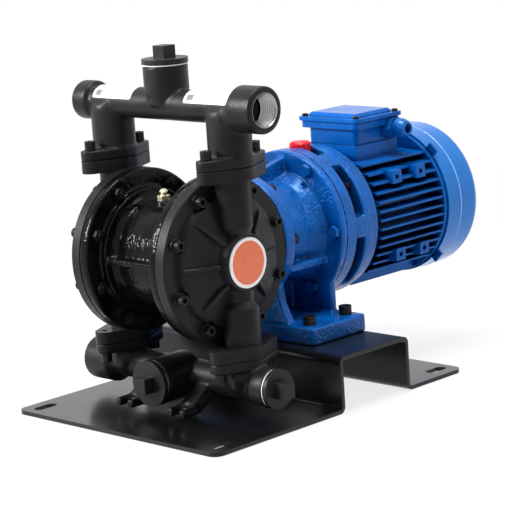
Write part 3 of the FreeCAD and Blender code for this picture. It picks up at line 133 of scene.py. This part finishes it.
BLUE = (0.0008, 0.088, 0.37)
GLINT = (0.10, 0.40, 1.0)
LOOKS = {
    "black_sheet": dict(
        colour=(0.003, 0.003, 0.004), rough=0.24, specular=1.0, shine=(0.12, 0.12, 0.13), coat=0.22,
        coat_rough=0.17, grain=(2600, 0.000015), patch=14, uneven=0.03, edge=0.0009, spread=0.2),
    "black_oxide": dict(
        colour=(0.008, 0.0076, 0.0076), rough=0.34, metal=0.25, specular=0.22, grain=(2200, 0.00002),
        patch=160, edge=0.0006, spread=0.3),
    "zinc_steel": dict(colour=(0.55, 0.55, 0.53), rough=0.34, metal=1.0, patch=90, edge=0.0004),
    # blue_paint and blue_aluminium darken their colour in recesses: painted shade.
    "blue_paint": dict(
        colour=BLUE, rough=0.14, shine=GLINT, hollow_shade=(0.03, 0.25), grain=(700, 0.00010),
        cast=(330, 0.0034, 0.15), coat=0.12, coat_rough=0.06, edge=0.0013, spread=0.16),
    "blue_aluminium": dict(
        colour=BLUE, rough=0.22, specular=0.4, shine=GLINT, hollow_shade=(0.012, 0.15), grain=(900, 0.00004),
        cast=(160, 0.00035, 0.15), edge=0.0010, spread=0.10),
    "blue_sheet": dict(
        colour=(0.004, 0.150, 0.52), rough=0.18, shine=(0.3, 0.6, 1.0), grain=(900, 0.00002), patch=18,
        coat=0.2, edge=0.0008, spread=0.06),
    # A lighter copy of blue_sheet: painted highlight along the fan cover's seam.
    "blue_sheet_painted_highlight": dict(
        colour=(0.20, 0.45, 0.85), rough=0.2, grain=(900, 0.00002), patch=60, coat=0.3, edge=0.0002,
        spread=0.1),
    "blue_plastic": dict(
        colour=(0.002, 0.090, 0.36), rough=0.20, shine=(0.3, 0.6, 1.0), grain=(900, 0.00002), coat=0.08,
        spread=0.08),
    "red_plastic": dict(
        colour=(0.72, 0.006, 0.020), rough=0.34, specular=0.3, grain=(1200, 0.00003), edge=0.0006,
        spread=0.1),
    "ground_steel": dict(
        colour=(0.56, 0.56, 0.57), rough=0.26, metal=1.0, patch=70, edge=0.0004, spread=0.08),
    "core_steel": dict(colour=(0.30, 0.30, 0.31), rough=0.45, metal=1.0, patch=60, edge=0.0003),
    "copper_winding": dict(
        colour=(0.55, 0.20, 0.07), rough=0.34, metal=0.9, patch=220, grain=(600, 0.0003), spread=0.3),
    "black_rubber": dict(
        colour=(0.014, 0.014, 0.014), rough=0.62, grain=(1800, 0.00004), edge=0.0005),
    "ball_rubber": dict(colour=(0.72, 0.70, 0.64), rough=0.5, grain=(1500, 0.00003)),
    "black_plastic": dict(
        colour=(0.009, 0.009, 0.0095), rough=0.40, shine=(0.3, 0.3, 0.31), grain=(1500, 0.00006),
        edge=0.0009, spread=0.2, dust=0.25),
    "gloss_black_cast": dict(
        colour=(0.002, 0.002, 0.003), rough=0.12, specular=0.12, grain=(600, 0.00008),
        cast=(240, 0.0007, 0.1), edge=0.0014, spread=0.3),
    "matt_black_cast": dict(
        colour=(0.0068, 0.0065, 0.0074), rough=0.40, shine=(0.28, 0.28, 0.3), grain=(1500, 0.00008),
        cast=(420, 0.00022, 0.4), edge=0.0012, spread=0.14, dust=0.12),
    "plate_aluminium": dict(colour=(0.72, 0.72, 0.73), rough=0.22, metal=1.0, patch=120, edge=0.0003),
    "cut_thread": dict(colour=(0.40, 0.40, 0.41), rough=0.30, metal=1.0, patch=120, edge=0.0002),
    "brass": dict(colour=(0.66, 0.62, 0.44), rough=0.34, metal=1.0, patch=150, edge=0.0004),
    "bronze": dict(colour=(0.42, 0.25, 0.10), rough=0.4, metal=1.0, patch=150, edge=0.0004),
    "white_seal": dict(
        colour=(0.82, 0.82, 0.80), rough=0.45, grain=(900, 0.00002), edge=0.0003, spread=0.03),
    "seat_plastic": dict(colour=(0.74, 0.73, 0.69), rough=0.4, spread=0.04),
    "orange_badge": dict(
        colour=(0.74, 0.15, 0.055), rough=0.34, grain=(1200, 0.00002), patch=300, coat=0.2, edge=0.0003,
        spread=0.06),
    "badge_white": dict(
        colour=(0.80, 0.79, 0.77), rough=0.4, grain=(1200, 0.00002), edge=0.0003, spread=0.03),
    "label_white": dict(
        colour=(0.60, 0.60, 0.61), rough=0.3, grain=(900, 0.00001), patch=60, edge=0.0002, spread=0.02),
    "label_grey": dict(
        colour=(0.16, 0.16, 0.17), rough=0.3, grain=(900, 0.00001), patch=60, edge=0.0002, spread=0.02),
}


def placed(name, data):
    made = bpy.data.objects.new(name, data)
    scene.collection.objects.link(made)
    return made


# Materials


def fresh(name):
    made = bpy.data.materials.new(name)
    made.use_nodes = True
    return made, made.node_tree.nodes, made.node_tree.links, made.node_tree.nodes["Principled BSDF"]


def noise(nodes, links, where, scale, detail=2.0, rough=0.5):
    node = nodes.new("ShaderNodeTexNoise")
    node.inputs["Scale"].default_value = scale
    node.inputs["Detail"].default_value = detail
    node.inputs["Roughness"].default_value = rough
    links.new(where.outputs["Object"], node.inputs["Vector"])
    return node.outputs["Fac"]


def ramp(nodes, links, source, low, high, start=0.35, end=0.65):
    """Spreads the part of a source from start to end between two values."""
    node = nodes.new("ShaderNodeMapRange")
    node.inputs["From Min"].default_value = start
    node.inputs["From Max"].default_value = end
    node.inputs["To Min"].default_value = low
    node.inputs["To Max"].default_value = high
    links.new(source, node.inputs["Value"])
    return node.outputs["Result"]


def mixed(nodes, links, factor, first, second):
    """Blends two colours, each a tuple or the output of another node."""
    node = nodes.new("ShaderNodeMix")
    node.data_type = "RGBA"
    for socket, value in (("A", first), ("B", second)):
        if isinstance(value, tuple):
            node.inputs[socket].default_value = value + (1,)
        else:
            links.new(value, node.inputs[socket])
    links.new(factor, node.inputs["Factor"])
    return node.outputs["Result"]


def bump(nodes, links, height, depth, normal):
    node = nodes.new("ShaderNodeBump")
    node.inputs["Distance"].default_value = depth
    links.new(height, node.inputs["Height"])
    links.new(normal, node.inputs["Normal"])
    return node


def finish_of(name, colour, rough, metal=0.0, spread=0.12, patch=40.0, uneven=0.06, grain=(1400, 0.00004),
              cast=None, coat=0.0, coat_rough=0.08, edge=0.0007, specular=0.5, dust=0.0, shine=(1, 1, 1),
              hollow_shade=None):
    """A finish with uneven colour and gloss, fine grain and softened edges.

    grain is (scale, depth) and cast, for a rough cast skin, is (scale, depth, least strength).
    dust is the share of pale specks, hollow_shade is (reach, colour share) for painted shade that darkens the
    colour in recesses, and shine tints the reflection seen straight on.
    """
    made, nodes, links, shader = fresh(name)
    where = nodes.new("ShaderNodeTexCoord")
    broad = noise(nodes, links, where, patch, 4, 0.6)
    grain_scale, grain_depth = grain
    fine = noise(nodes, links, where, grain_scale)
    darker = tuple(c * (1 - spread) for c in colour)
    lighter = tuple(min(1.0, c * (1 + spread) + spread * 0.01) for c in colour)
    out = mixed(nodes, links, ramp(nodes, links, broad, 0, 1), darker, lighter)
    if dust:
        speck = noise(nodes, links, where, grain_scale * SPECK_SHARE, 3, 0.7)
        pale = tuple(min(1.0, c * 1.8 + 0.006) for c in colour)
        out = mixed(nodes, links, ramp(nodes, links, speck, 0, dust, *SPECK_RANGE), out, pale)
    # Painted shade: the colour is darkened in recesses and between parts, where shade falls.
    if hollow_shade:
        reach, dark = hollow_shade
        shade = nodes.new("ShaderNodeAmbientOcclusion")
        shade.samples = HOLLOW_SHADE_SAMPLES
        shade.inputs["Distance"].default_value = reach
        shaded_colour = tuple(c * dark for c in colour)
        out = mixed(nodes, links, ramp(nodes, links, shade.outputs["AO"], 0, 1, *HOLLOW_SHADE_RANGE), shaded_colour, out)
    links.new(out, shader.inputs["Base Color"])
    links.new(ramp(nodes, links, broad, max(LEAST_ROUGH, rough - uneven), rough + uneven),
              shader.inputs["Roughness"])
    shader.inputs["Metallic"].default_value = metal
    shader.inputs["Specular IOR Level"].default_value = specular
    shader.inputs["Specular Tint"].default_value = tuple(shine) + (1,)
    shader.inputs["Coat Weight"].default_value = coat
    shader.inputs["Coat Roughness"].default_value = coat_rough
    soft = nodes.new("ShaderNodeBevel")
    soft.samples = EDGE_SAMPLES
    soft.inputs["Radius"].default_value = edge
    normal = soft.outputs["Normal"]
    if cast:
        scale, depth, calm = cast
        lump = bump(nodes, links, noise(nodes, links, where, scale), depth, normal)
        patchy = noise(nodes, links, where, ROUGH_SKIN_SCALE)
        links.new(ramp(nodes, links, patchy, calm, 1.0, *ROUGH_SKIN_RANGE), lump.inputs["Strength"])
        normal = lump.outputs["Normal"]
    texture = bump(nodes, links, fine, grain_depth, normal)
    texture.inputs["Strength"].default_value = GRAIN_STRENGTH
    links.new(texture.outputs["Normal"], shader.inputs["Normal"])
    return made


finishes = {name: finish_of(name, **look) for name, look in LOOKS.items()}
slot_of = {part["node"]: part["material_slot"] for part in frame["record"]["subparts"]}
for node, thing in NODES.items():
    thing.data.materials.clear()
    thing.data.materials.append(finishes[slot_of[node]])
NODES["motor_flange_bolts"].data.materials[0] = finishes["black_oxide"]  # black oxide, dark in the photograph; this dark finish also stands as painted shade inside the adapter's windows


# New pieces


def piece(name, bm, looks, record_slot, smooth=True, body="frame"):
    mesh = bpy.data.meshes.new(name)
    bmesh.ops.recalc_face_normals(bm, faces=bm.faces)
    bm.to_mesh(mesh)
    bm.free()
    for face in mesh.polygons:
        face.use_smooth = smooth
    made = placed(name, mesh)
    for look in looks:
        mesh.materials.append(finishes[look])
    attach(made, body)
    return made


def lathe(bm, profile, place, axis="X", way=1, steps=96, material=0):
    """Turns (radius, height) points round an X or Y axis through place, heights counted from there."""
    rings = []
    for radius, height in profile:
        ring = []
        for i in range(steps):
            a = 2 * math.pi * i / steps
            u, v = radius * math.cos(a), radius * math.sin(a)
            point = Vector((way * height, u, v)) if axis == "X" else Vector((u, way * height, v))
            ring.append(bm.verts.new(Vector(place) + point))
        rings.append(ring)
    for low, high in zip(rings, rings[1:]):
        for i in range(steps):
            j = (i + 1) % steps
            face = bm.faces.new((low[i], low[j], high[j], high[i]))
            face.material_index = material


def in_metres(profile):
    return [(radius * MM, height * MM) for radius, height in profile]


def port_thread(name, mouth, way):
    """Bright machined thread inside an open port, with the chamfer at its mouth."""
    bm = bmesh.new()
    rows = []
    for k in range(int(THREAD_DEPTH / THREAD_PITCH * THREAD_STEPS) + 1):
        a = 2 * math.pi * k / THREAD_STEPS
        along = k / THREAD_STEPS * THREAD_PITCH
        row = []
        for share, radius in THREAD_FORM:
            h = along + share * THREAD_PITCH
            point = Vector((-way * h, radius * math.cos(a), radius * math.sin(a)))
            row.append(bm.verts.new(Vector(mouth) + point))
        rows.append(row)
    for low, high in zip(rows, rows[1:]):
        for i in range(len(THREAD_FORM) - 1):
            bm.faces.new((low[i], low[i + 1], high[i + 1], high[i]))
    lathe(bm, in_metres(THREAD_MOUTH), mouth, way=way)
    piece(name, bm, ("cut_thread",), "plate_aluminium", smooth=False)


def pipe_label(name, start, end):
    """White label wrapped over the top pipe, with a thin border, a divider and a plain grey patch."""
    outer = LABEL_RADIUS + LABEL_THICK
    bm = bmesh.new()
    grid = []
    for j in range(LABEL_ROWS + 1):
        a = LABEL_FROM + (LABEL_TO - LABEL_FROM) * j / LABEL_ROWS
        arc = (a - LABEL_FROM) * LABEL_RADIUS
        from_edge = min(arc, (LABEL_TO - LABEL_FROM) * LABEL_RADIUS - arc)
        rounding = LABEL_CORNER - min(LABEL_CORNER, from_edge)
        inset = LABEL_CORNER - math.sqrt(max(0.0, LABEL_CORNER ** 2 - rounding ** 2))
        row = []
        for i in range(LABEL_COLUMNS + 1):
            x = start + inset + (end - start - 2 * inset) * i / LABEL_COLUMNS
            row.append(bm.verts.new((x, PUMP_Y - outer * math.cos(a), PORT_TOP + outer * math.sin(a))))
        grid.append(row)
    last_column, last_row = LABEL_COLUMNS - 1 - LABEL_BORDER, LABEL_ROWS - 1 - LABEL_BORDER
    for j in range(LABEL_ROWS):
        for i in range(LABEL_COLUMNS):
            face = bm.faces.new((grid[j][i], grid[j][i + 1], grid[j + 1][i + 1], grid[j + 1][i]))
            inside = LABEL_BORDER <= i <= last_column and LABEL_BORDER <= j <= last_row
            line = i in (LABEL_BORDER, LABEL_DIVIDER, last_column) or j in (LABEL_BORDER, last_row)
            patch = i in PATCH_COLUMNS and j in PATCH_ROWS
            face.material_index = 1 if inside and (line or patch) else 0
    made = piece(name, bm, ("label_white", "label_grey"), "white_seal")
    shell = made.modifiers.new("thickness", "SOLIDIFY")
    shell.thickness = LABEL_THICK
    shell.offset = -1


def badge():
    """Orange enamel disc with a raised white rim, and nothing on it."""
    bm = bmesh.new()
    centre = (BOSS_X, PUMP_Y, SHAFT_Z)
    lathe(bm, in_metres(BADGE_RIM), centre, material=1)
    lathe(bm, in_metres(BADGE_FACE), centre)
    made = piece("round_badge", bm, ("orange_badge", "badge_white"), "orange_badge")
    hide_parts("name_badge")


def cover_ribs(node, name, side):
    """Ribs of even height from the boss to the rim of the bowl, laid on the cover's own surface."""
    source = bmesh.new()
    source.from_mesh(NODES[node].data)
    tree = BVHTree.FromBMesh(source)
    source.free()
    bm = bmesh.new()
    for angle in RIB_ANGLES:
        spin = math.radians(angle)
        out = Vector((0, math.cos(spin), math.sin(spin)))
        across = Vector((0, -math.sin(spin), math.cos(spin)))
        rows = []
        for k in range(RIB_STEPS + 1):
            reach = RIB_INNER + (RIB_OUTER - RIB_INNER) * k / RIB_STEPS
            ring = max(reach, BOSS_EDGE)
            floor = []
            for turn in (-RIB_BESIDE, RIB_BESIDE):
                start = Vector((side * FEELER_X, PUMP_Y + ring * math.cos(spin + turn),
                                SHAFT_Z + ring * math.sin(spin + turn)))
                hit = tree.ray_cast(start, Vector((-side, 0, 0)))[0]
                floor.append(hit.x * side)
            low = min(floor)
            high = low + RIB_RISE * min(1.0, RIB_RUN_OUT * (1 - k / RIB_STEPS) + RIB_END)
            middle = Vector((0, PUMP_Y, SHAFT_Z)) + out * reach
            flank = ((RIB_ROOT, low - RIB_SUNK), (RIB_SIDE, high - RIB_ROUND), (RIB_TOP, high))
            section = flank + tuple((-half, level) for half, level in reversed(flank))
            rows.append([bm.verts.new(middle + across * half + Vector((side * level, 0, 0)))
                         for half, level in section])
        for low_row, high_row in zip(rows, rows[1:]):
            for i in range(len(low_row)):
                j = (i + 1) % len(low_row)
                bm.faces.new((low_row[i], low_row[j], high_row[j], high_row[i]))
        bm.faces.new(rows[0])
        bm.faces.new(rows[-1][::-1])
    piece(name, bm, ("black_plastic",), slot_of[node], smooth=False)


def cover_seam():
    """Rolled bead round the fan cover where its two parts meet, in a lighter blue that is a painted highlight
    along the seam.
    """
    low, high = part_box("fan_cover")
    radius, y = (high[0] - low[0]) / 2 * COVER_SCALE, high[1] - SEAM_BACK
    bm = bmesh.new()
    lathe(bm, [(radius + out, along) for out, along in SEAM_PROFILE], (0, y, SHAFT_Z), "Y",
          steps=SEAM_STEPS)
    piece("fan_cover_seam", bm, ("blue_sheet_painted_highlight",), slot_of["fan_cover"])


# Pieces that stand for a CAD node


def unmoved(point):
    return point


def reshaped(node, name, move):
    """A copy of a CAD node's mesh with its points moved. The node itself stays as it is."""
    mesh = NODES[node].data.copy()
    mesh.name = name
    for vert in mesh.vertices:
        vert.co = move(vert.co.copy())
    return placed(name, mesh)


def stand_for(made, node, body="frame"):
    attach(made, body)
    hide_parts(node)


def settled(made):
    """Works a piece's modifiers into its mesh."""
    shaped = made.evaluated_get(bpy.context.evaluated_depsgraph_get())
    made.data = bpy.data.meshes.new_from_object(shaped)
    made.modifiers.clear()


def cast_skin(node, name, voxel, melt, kept, move=unmoved, near=None):
    """A casting with its joins melted together, as a foundry's fillets are.

    near gives how far each point melts, from 0 to 1. Without it they all do.
    """
    made = reshaped(node, name, unmoved)
    grid = made.modifiers.new("grid", "REMESH")
    grid.mode = "VOXEL"
    grid.voxel_size = voxel
    settled(made)
    for vert in made.data.vertices:
        vert.co = move(vert.co.copy())
    soft = made.vertex_groups.new(name="soft")
    for vert in made.data.vertices:
        soft.add([vert.index], near(vert.co) if near else 1.0, "REPLACE")
    level = made.modifiers.new("level", "SMOOTH")
    level.factor = SMOOTH_FACTOR
    level.iterations = LEVEL_PASSES
    fillet = made.modifiers.new("fillet", "SMOOTH")
    fillet.factor = SMOOTH_FACTOR
    fillet.iterations = melt
    fillet.vertex_group = "soft"
    fewer = made.modifiers.new("fewer", "DECIMATE")
    fewer.ratio = kept
    settled(made)
    for face in made.data.polygons:
        face.use_smooth = True
    made.data.materials.clear()
    made.data.materials.append(finishes[slot_of[node]])
    stand_for(made, node)


def from_shaft(point):
    return math.hypot(point.x, point.z - SHAFT_Z)


def to_radius(point, wanted):
    """Moves a point straight out from or in to the shaft."""
    now = from_shaft(point)
    if now > 1e-6:
        point.x *= wanted / now
        point.z = SHAFT_Z + (point.z - SHAFT_Z) * wanted / now
    return point


def motor_skin():
    """Fins that run in under the fan cover, and a cover that sits close round them."""
    cover_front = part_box("fan_cover")[0][1]

    def on_cover(point):
        return to_radius(point, from_shaft(point) * COVER_SCALE)

    def on_fins(point):
        now = from_shaft(point)
        if now > FIN_ROOT and point.z < FIN_TOP_Z:
            to_radius(point, FIN_ROOT + (now - FIN_ROOT) * FIN_KEPT)
            if point.y > cover_front - FIN_END:
                point.y = cover_front + FIN_RUN_IN
        return point

    def on_shield(point):
        now = from_shaft(point)
        return to_radius(point, now + SHIELD_GROWTH) if now > SHIELD_EDGE else point

    for node, name, move in (("fan_cover", "close_fan_cover", on_cover),
                             ("fan_cover_screws", "close_cover_screws", on_cover),
                             ("motor_housing", "finned_housing", on_fins),
                             ("rear_endshield", "wide_endshield", on_shield)):
        stand_for(reshaped(node, name, move), node)


def box_skin():
    """The terminal box drawn in below its rim, with the gland's stub reaching to its wall."""
    low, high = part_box("terminal_box")
    middle, rim = (low + high) / 2, high.z - BOX_RIM
    made = reshaped("terminal_box", "waisted_terminal_box", unmoved)
    bm = bmesh.new()
    bm.from_mesh(made.data)
    for level in (rim, rim - BOX_STEP):
        bmesh.ops.bisect_plane(bm, geom=bm.verts[:] + bm.edges[:] + bm.faces[:], dist=1e-6,
                               plane_co=(0, 0, level), plane_no=(0, 0, 1))
    for vert in bm.verts:
        if vert.co.z < rim - BOX_STEP / 2:
            vert.co.x = middle.x + (vert.co.x - middle.x) * BOX_INSET
            vert.co.y = middle.y + (vert.co.y - middle.y) * BOX_INSET
    bm.to_mesh(made.data)
    bm.free()
    stand_for(made, "terminal_box")
    stub_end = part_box("cable_gland")[0].x + GLAND_STUB
    drawn_in = (high.x - low.x) / 2 * (1 - BOX_INSET)

    def on_gland(point):
        if point.x < stub_end:
            point.x -= drawn_in
        return point

    stand_for(reshaped("cable_gland", "long_stub_gland", on_gland), "cable_gland")


def pipe_skin():
    """The discharge manifold, with each neck melted into the pipe instead of standing through it."""
    pipe_mm, neck_mm, neck_lean = 15.0, 2.5, 15  # radius, and what a neck adds below this angle
    neck_reach = 0.0185
    join_half, join_drop, join_tall, join_fade = 0.016, 0.008, 0.010, 0.006
    top_rise, top_tall, top_fade = 0.014, 0.004, 0.018

    def move(point):
        if abs(abs(point.x) - NECK_X) < neck_reach and point.z > PORT_TOP:
            dy, dz = point.y - PUMP_Y, point.z - PORT_TOP
            now, lean = math.hypot(dy, dz), math.degrees(math.atan2(dz, abs(dy)))
            most = (pipe_mm + neck_mm * max(0.0, 1 - lean / neck_lean)) * MM
            if now > most:
                point.y, point.z = PUMP_Y + dy * most / now, PORT_TOP + dz * most / now
        return point

    def near(point):
        from_neck = math.hypot(max(0.0, abs(abs(point.x) - NECK_X) - join_half),
                               max(0.0, abs(point.z - PORT_TOP + join_drop) - join_tall))
        from_top = math.hypot(point.x, max(0.0, abs(point.z - PORT_TOP - top_rise) - top_tall))
        return max(0.0, min(1.0, 1.4 - from_neck / join_fade), min(1.0, 1.6 - from_top / top_fade))

    cast_skin("top_manifold", "discharge_manifold_skin", PIPE_VOXEL, PIPE_MELT, PIPE_KEPT, move, near)


def rough_castings():
    """The other castings, with their joins and edges rounded as sand moulds leave them."""
    for node, name, melt in CASTINGS:
        cast_skin(node, name, CAST_VOXEL, melt, CAST_KEPT)


# Camera and studio


def make_camera():
    back = Vector((math.sin(AZ) * math.cos(EL), -math.cos(AZ) * math.cos(EL), math.sin(EL)))
    right = Vector((math.cos(AZ), math.sin(AZ), 0))
    up = back.cross(right)
    across = right * math.cos(ROLL) + up * math.sin(ROLL)
    upward = up * math.cos(ROLL) - right * math.sin(ROLL)
    data = bpy.data.cameras.new("camera")
    data.sensor_width = SENSOR_MM
    data.lens = SENSOR_MM * FOCAL_PX / PICTURE_PX
    data.clip_start, data.clip_end = CLIP_NEAR, CLIP_FAR
    place = AIM + back * DISTANCE
    camera = placed("camera", data)
    camera.matrix_world = Matrix(((across.x, upward.x, back.x, place.x), (across.y, upward.y, back.y, place.y),
                                  (across.z, upward.z, back.z, place.z), (0, 0, 0, 1)))
    scene.camera = camera


def seen_by(nodes, links, *kinds):
    """1 for these kinds of ray, and 0 for the rest."""
    ray = nodes.new("ShaderNodeLightPath")
    out = ray.outputs[kinds[0]]
    for kind in kinds[1:]:
        either = nodes.new("ShaderNodeMath")
        either.operation = "MAXIMUM"
        links.new(out, either.inputs[0])
        links.new(ray.outputs[kind], either.inputs[1])
        out = either.outputs[0]
    return out


def join_shaders(nodes, links, share, first, second, surface):
    mix = nodes.new("ShaderNodeMixShader")
    links.new(share, mix.inputs["Fac"])
    links.new(first.outputs[0], mix.inputs[1])
    links.new(second.outputs[0], mix.inputs[2])
    links.new(mix.outputs[0], surface.inputs["Surface"])


def backdrop():
    """White where it is seen or mirrored, and a weak sky where it lights the object."""
    world = bpy.data.worlds.new("studio")
    scene.world = world
    world.use_nodes = True
    nodes, links = world.node_tree.nodes, world.node_tree.links
    nodes.clear()
    lit, shown = nodes.new("ShaderNodeBackground"), nodes.new("ShaderNodeBackground")
    lit.inputs["Color"].default_value = SKY_COLOUR
    lit.inputs["Strength"].default_value = SKY_STRENGTH
    shown.inputs["Color"].default_value = WHITE
    shown.inputs["Strength"].default_value = 1.0
    share = seen_by(nodes, links, "Is Camera Ray", "Is Glossy Ray", "Is Transmission Ray")
    join_shaders(nodes, links, share, lit, shown, nodes.new("ShaderNodeOutputWorld"))


def studio_floor():
    """Pale floor that keeps the object's shadow near it and turns white further out."""
    made, nodes, links, shader = fresh("floor")
    shader.inputs["Base Color"].default_value = FLOOR_COLOUR
    shader.inputs["Roughness"].default_value = FLOOR_ROUGH
    where = nodes.new("ShaderNodeTexCoord")
    far = nodes.new("ShaderNodeVectorMath")
    far.operation = "LENGTH"
    links.new(where.outputs["Object"], far.inputs[0])
    share = nodes.new("ShaderNodeMath")
    share.operation = "MULTIPLY"
    links.new(seen_by(nodes, links, "Is Camera Ray", "Is Glossy Ray"), share.inputs[0])
    links.new(ramp(nodes, links, far.outputs["Value"], *FLOOR_GLOW), share.inputs[1])
    glow = nodes.new("ShaderNodeEmission")
    glow.inputs["Color"].default_value = WHITE
    glow.inputs["Strength"].default_value = 1.0
    join_shaders(nodes, links, share.outputs[0], shader, glow, nodes["Material Output"])
    bm = bmesh.new()
    middle = bm.verts.new((0, 0, FLOOR_Z))
    turns = [2 * math.pi * i / FLOOR_STEPS for i in range(FLOOR_STEPS)]
    rim = [bm.verts.new((FLOOR_REACH * math.cos(a), FLOOR_REACH * math.sin(a), FLOOR_Z)) for a in turns]
    for i in range(FLOOR_STEPS):
        bm.faces.new((middle, rim[i], rim[(i + 1) % FLOOR_STEPS]))
    mesh = bpy.data.meshes.new("floor")
    bm.to_mesh(mesh)
    bm.free()
    mesh.materials.append(made)
    floor = placed("floor", mesh)


def softbox(name, place, size, power):
    data = bpy.data.lights.new(name, "AREA")
    data.shape = "RECTANGLE"
    data.size, data.size_y = size, size
    data.energy = power
    lamp = placed(name, data)
    lamp.location = place
    lamp.rotation_mode = "QUATERNION"
    lamp.rotation_quaternion = (Vector(LAMP_AIM) - Vector(place)).to_track_quat("-Z", "Y")


port_thread("discharge_thread", (PORT_X, PUMP_Y, PORT_TOP), 1)
port_thread("suction_thread", (-PORT_X, PUMP_Y, PORT_LOW), -1)
pipe_label("pipe_label_left", -0.0915, -0.0370)
pipe_label("pipe_label_right", 0.0355, 0.0925)
badge()
cover_ribs("chamber_cover_right", "cover_ribs_right", 1)
cover_ribs("chamber_cover_left", "cover_ribs_left", -1)
motor_skin()
box_skin()
pipe_skin()
rough_castings()
cover_seam()
make_camera()
backdrop()
studio_floor()
for lamp_name, place, size, power in LAMPS:
    softbox(lamp_name, place, size, power)

scene.view_settings.view_transform = "Standard"
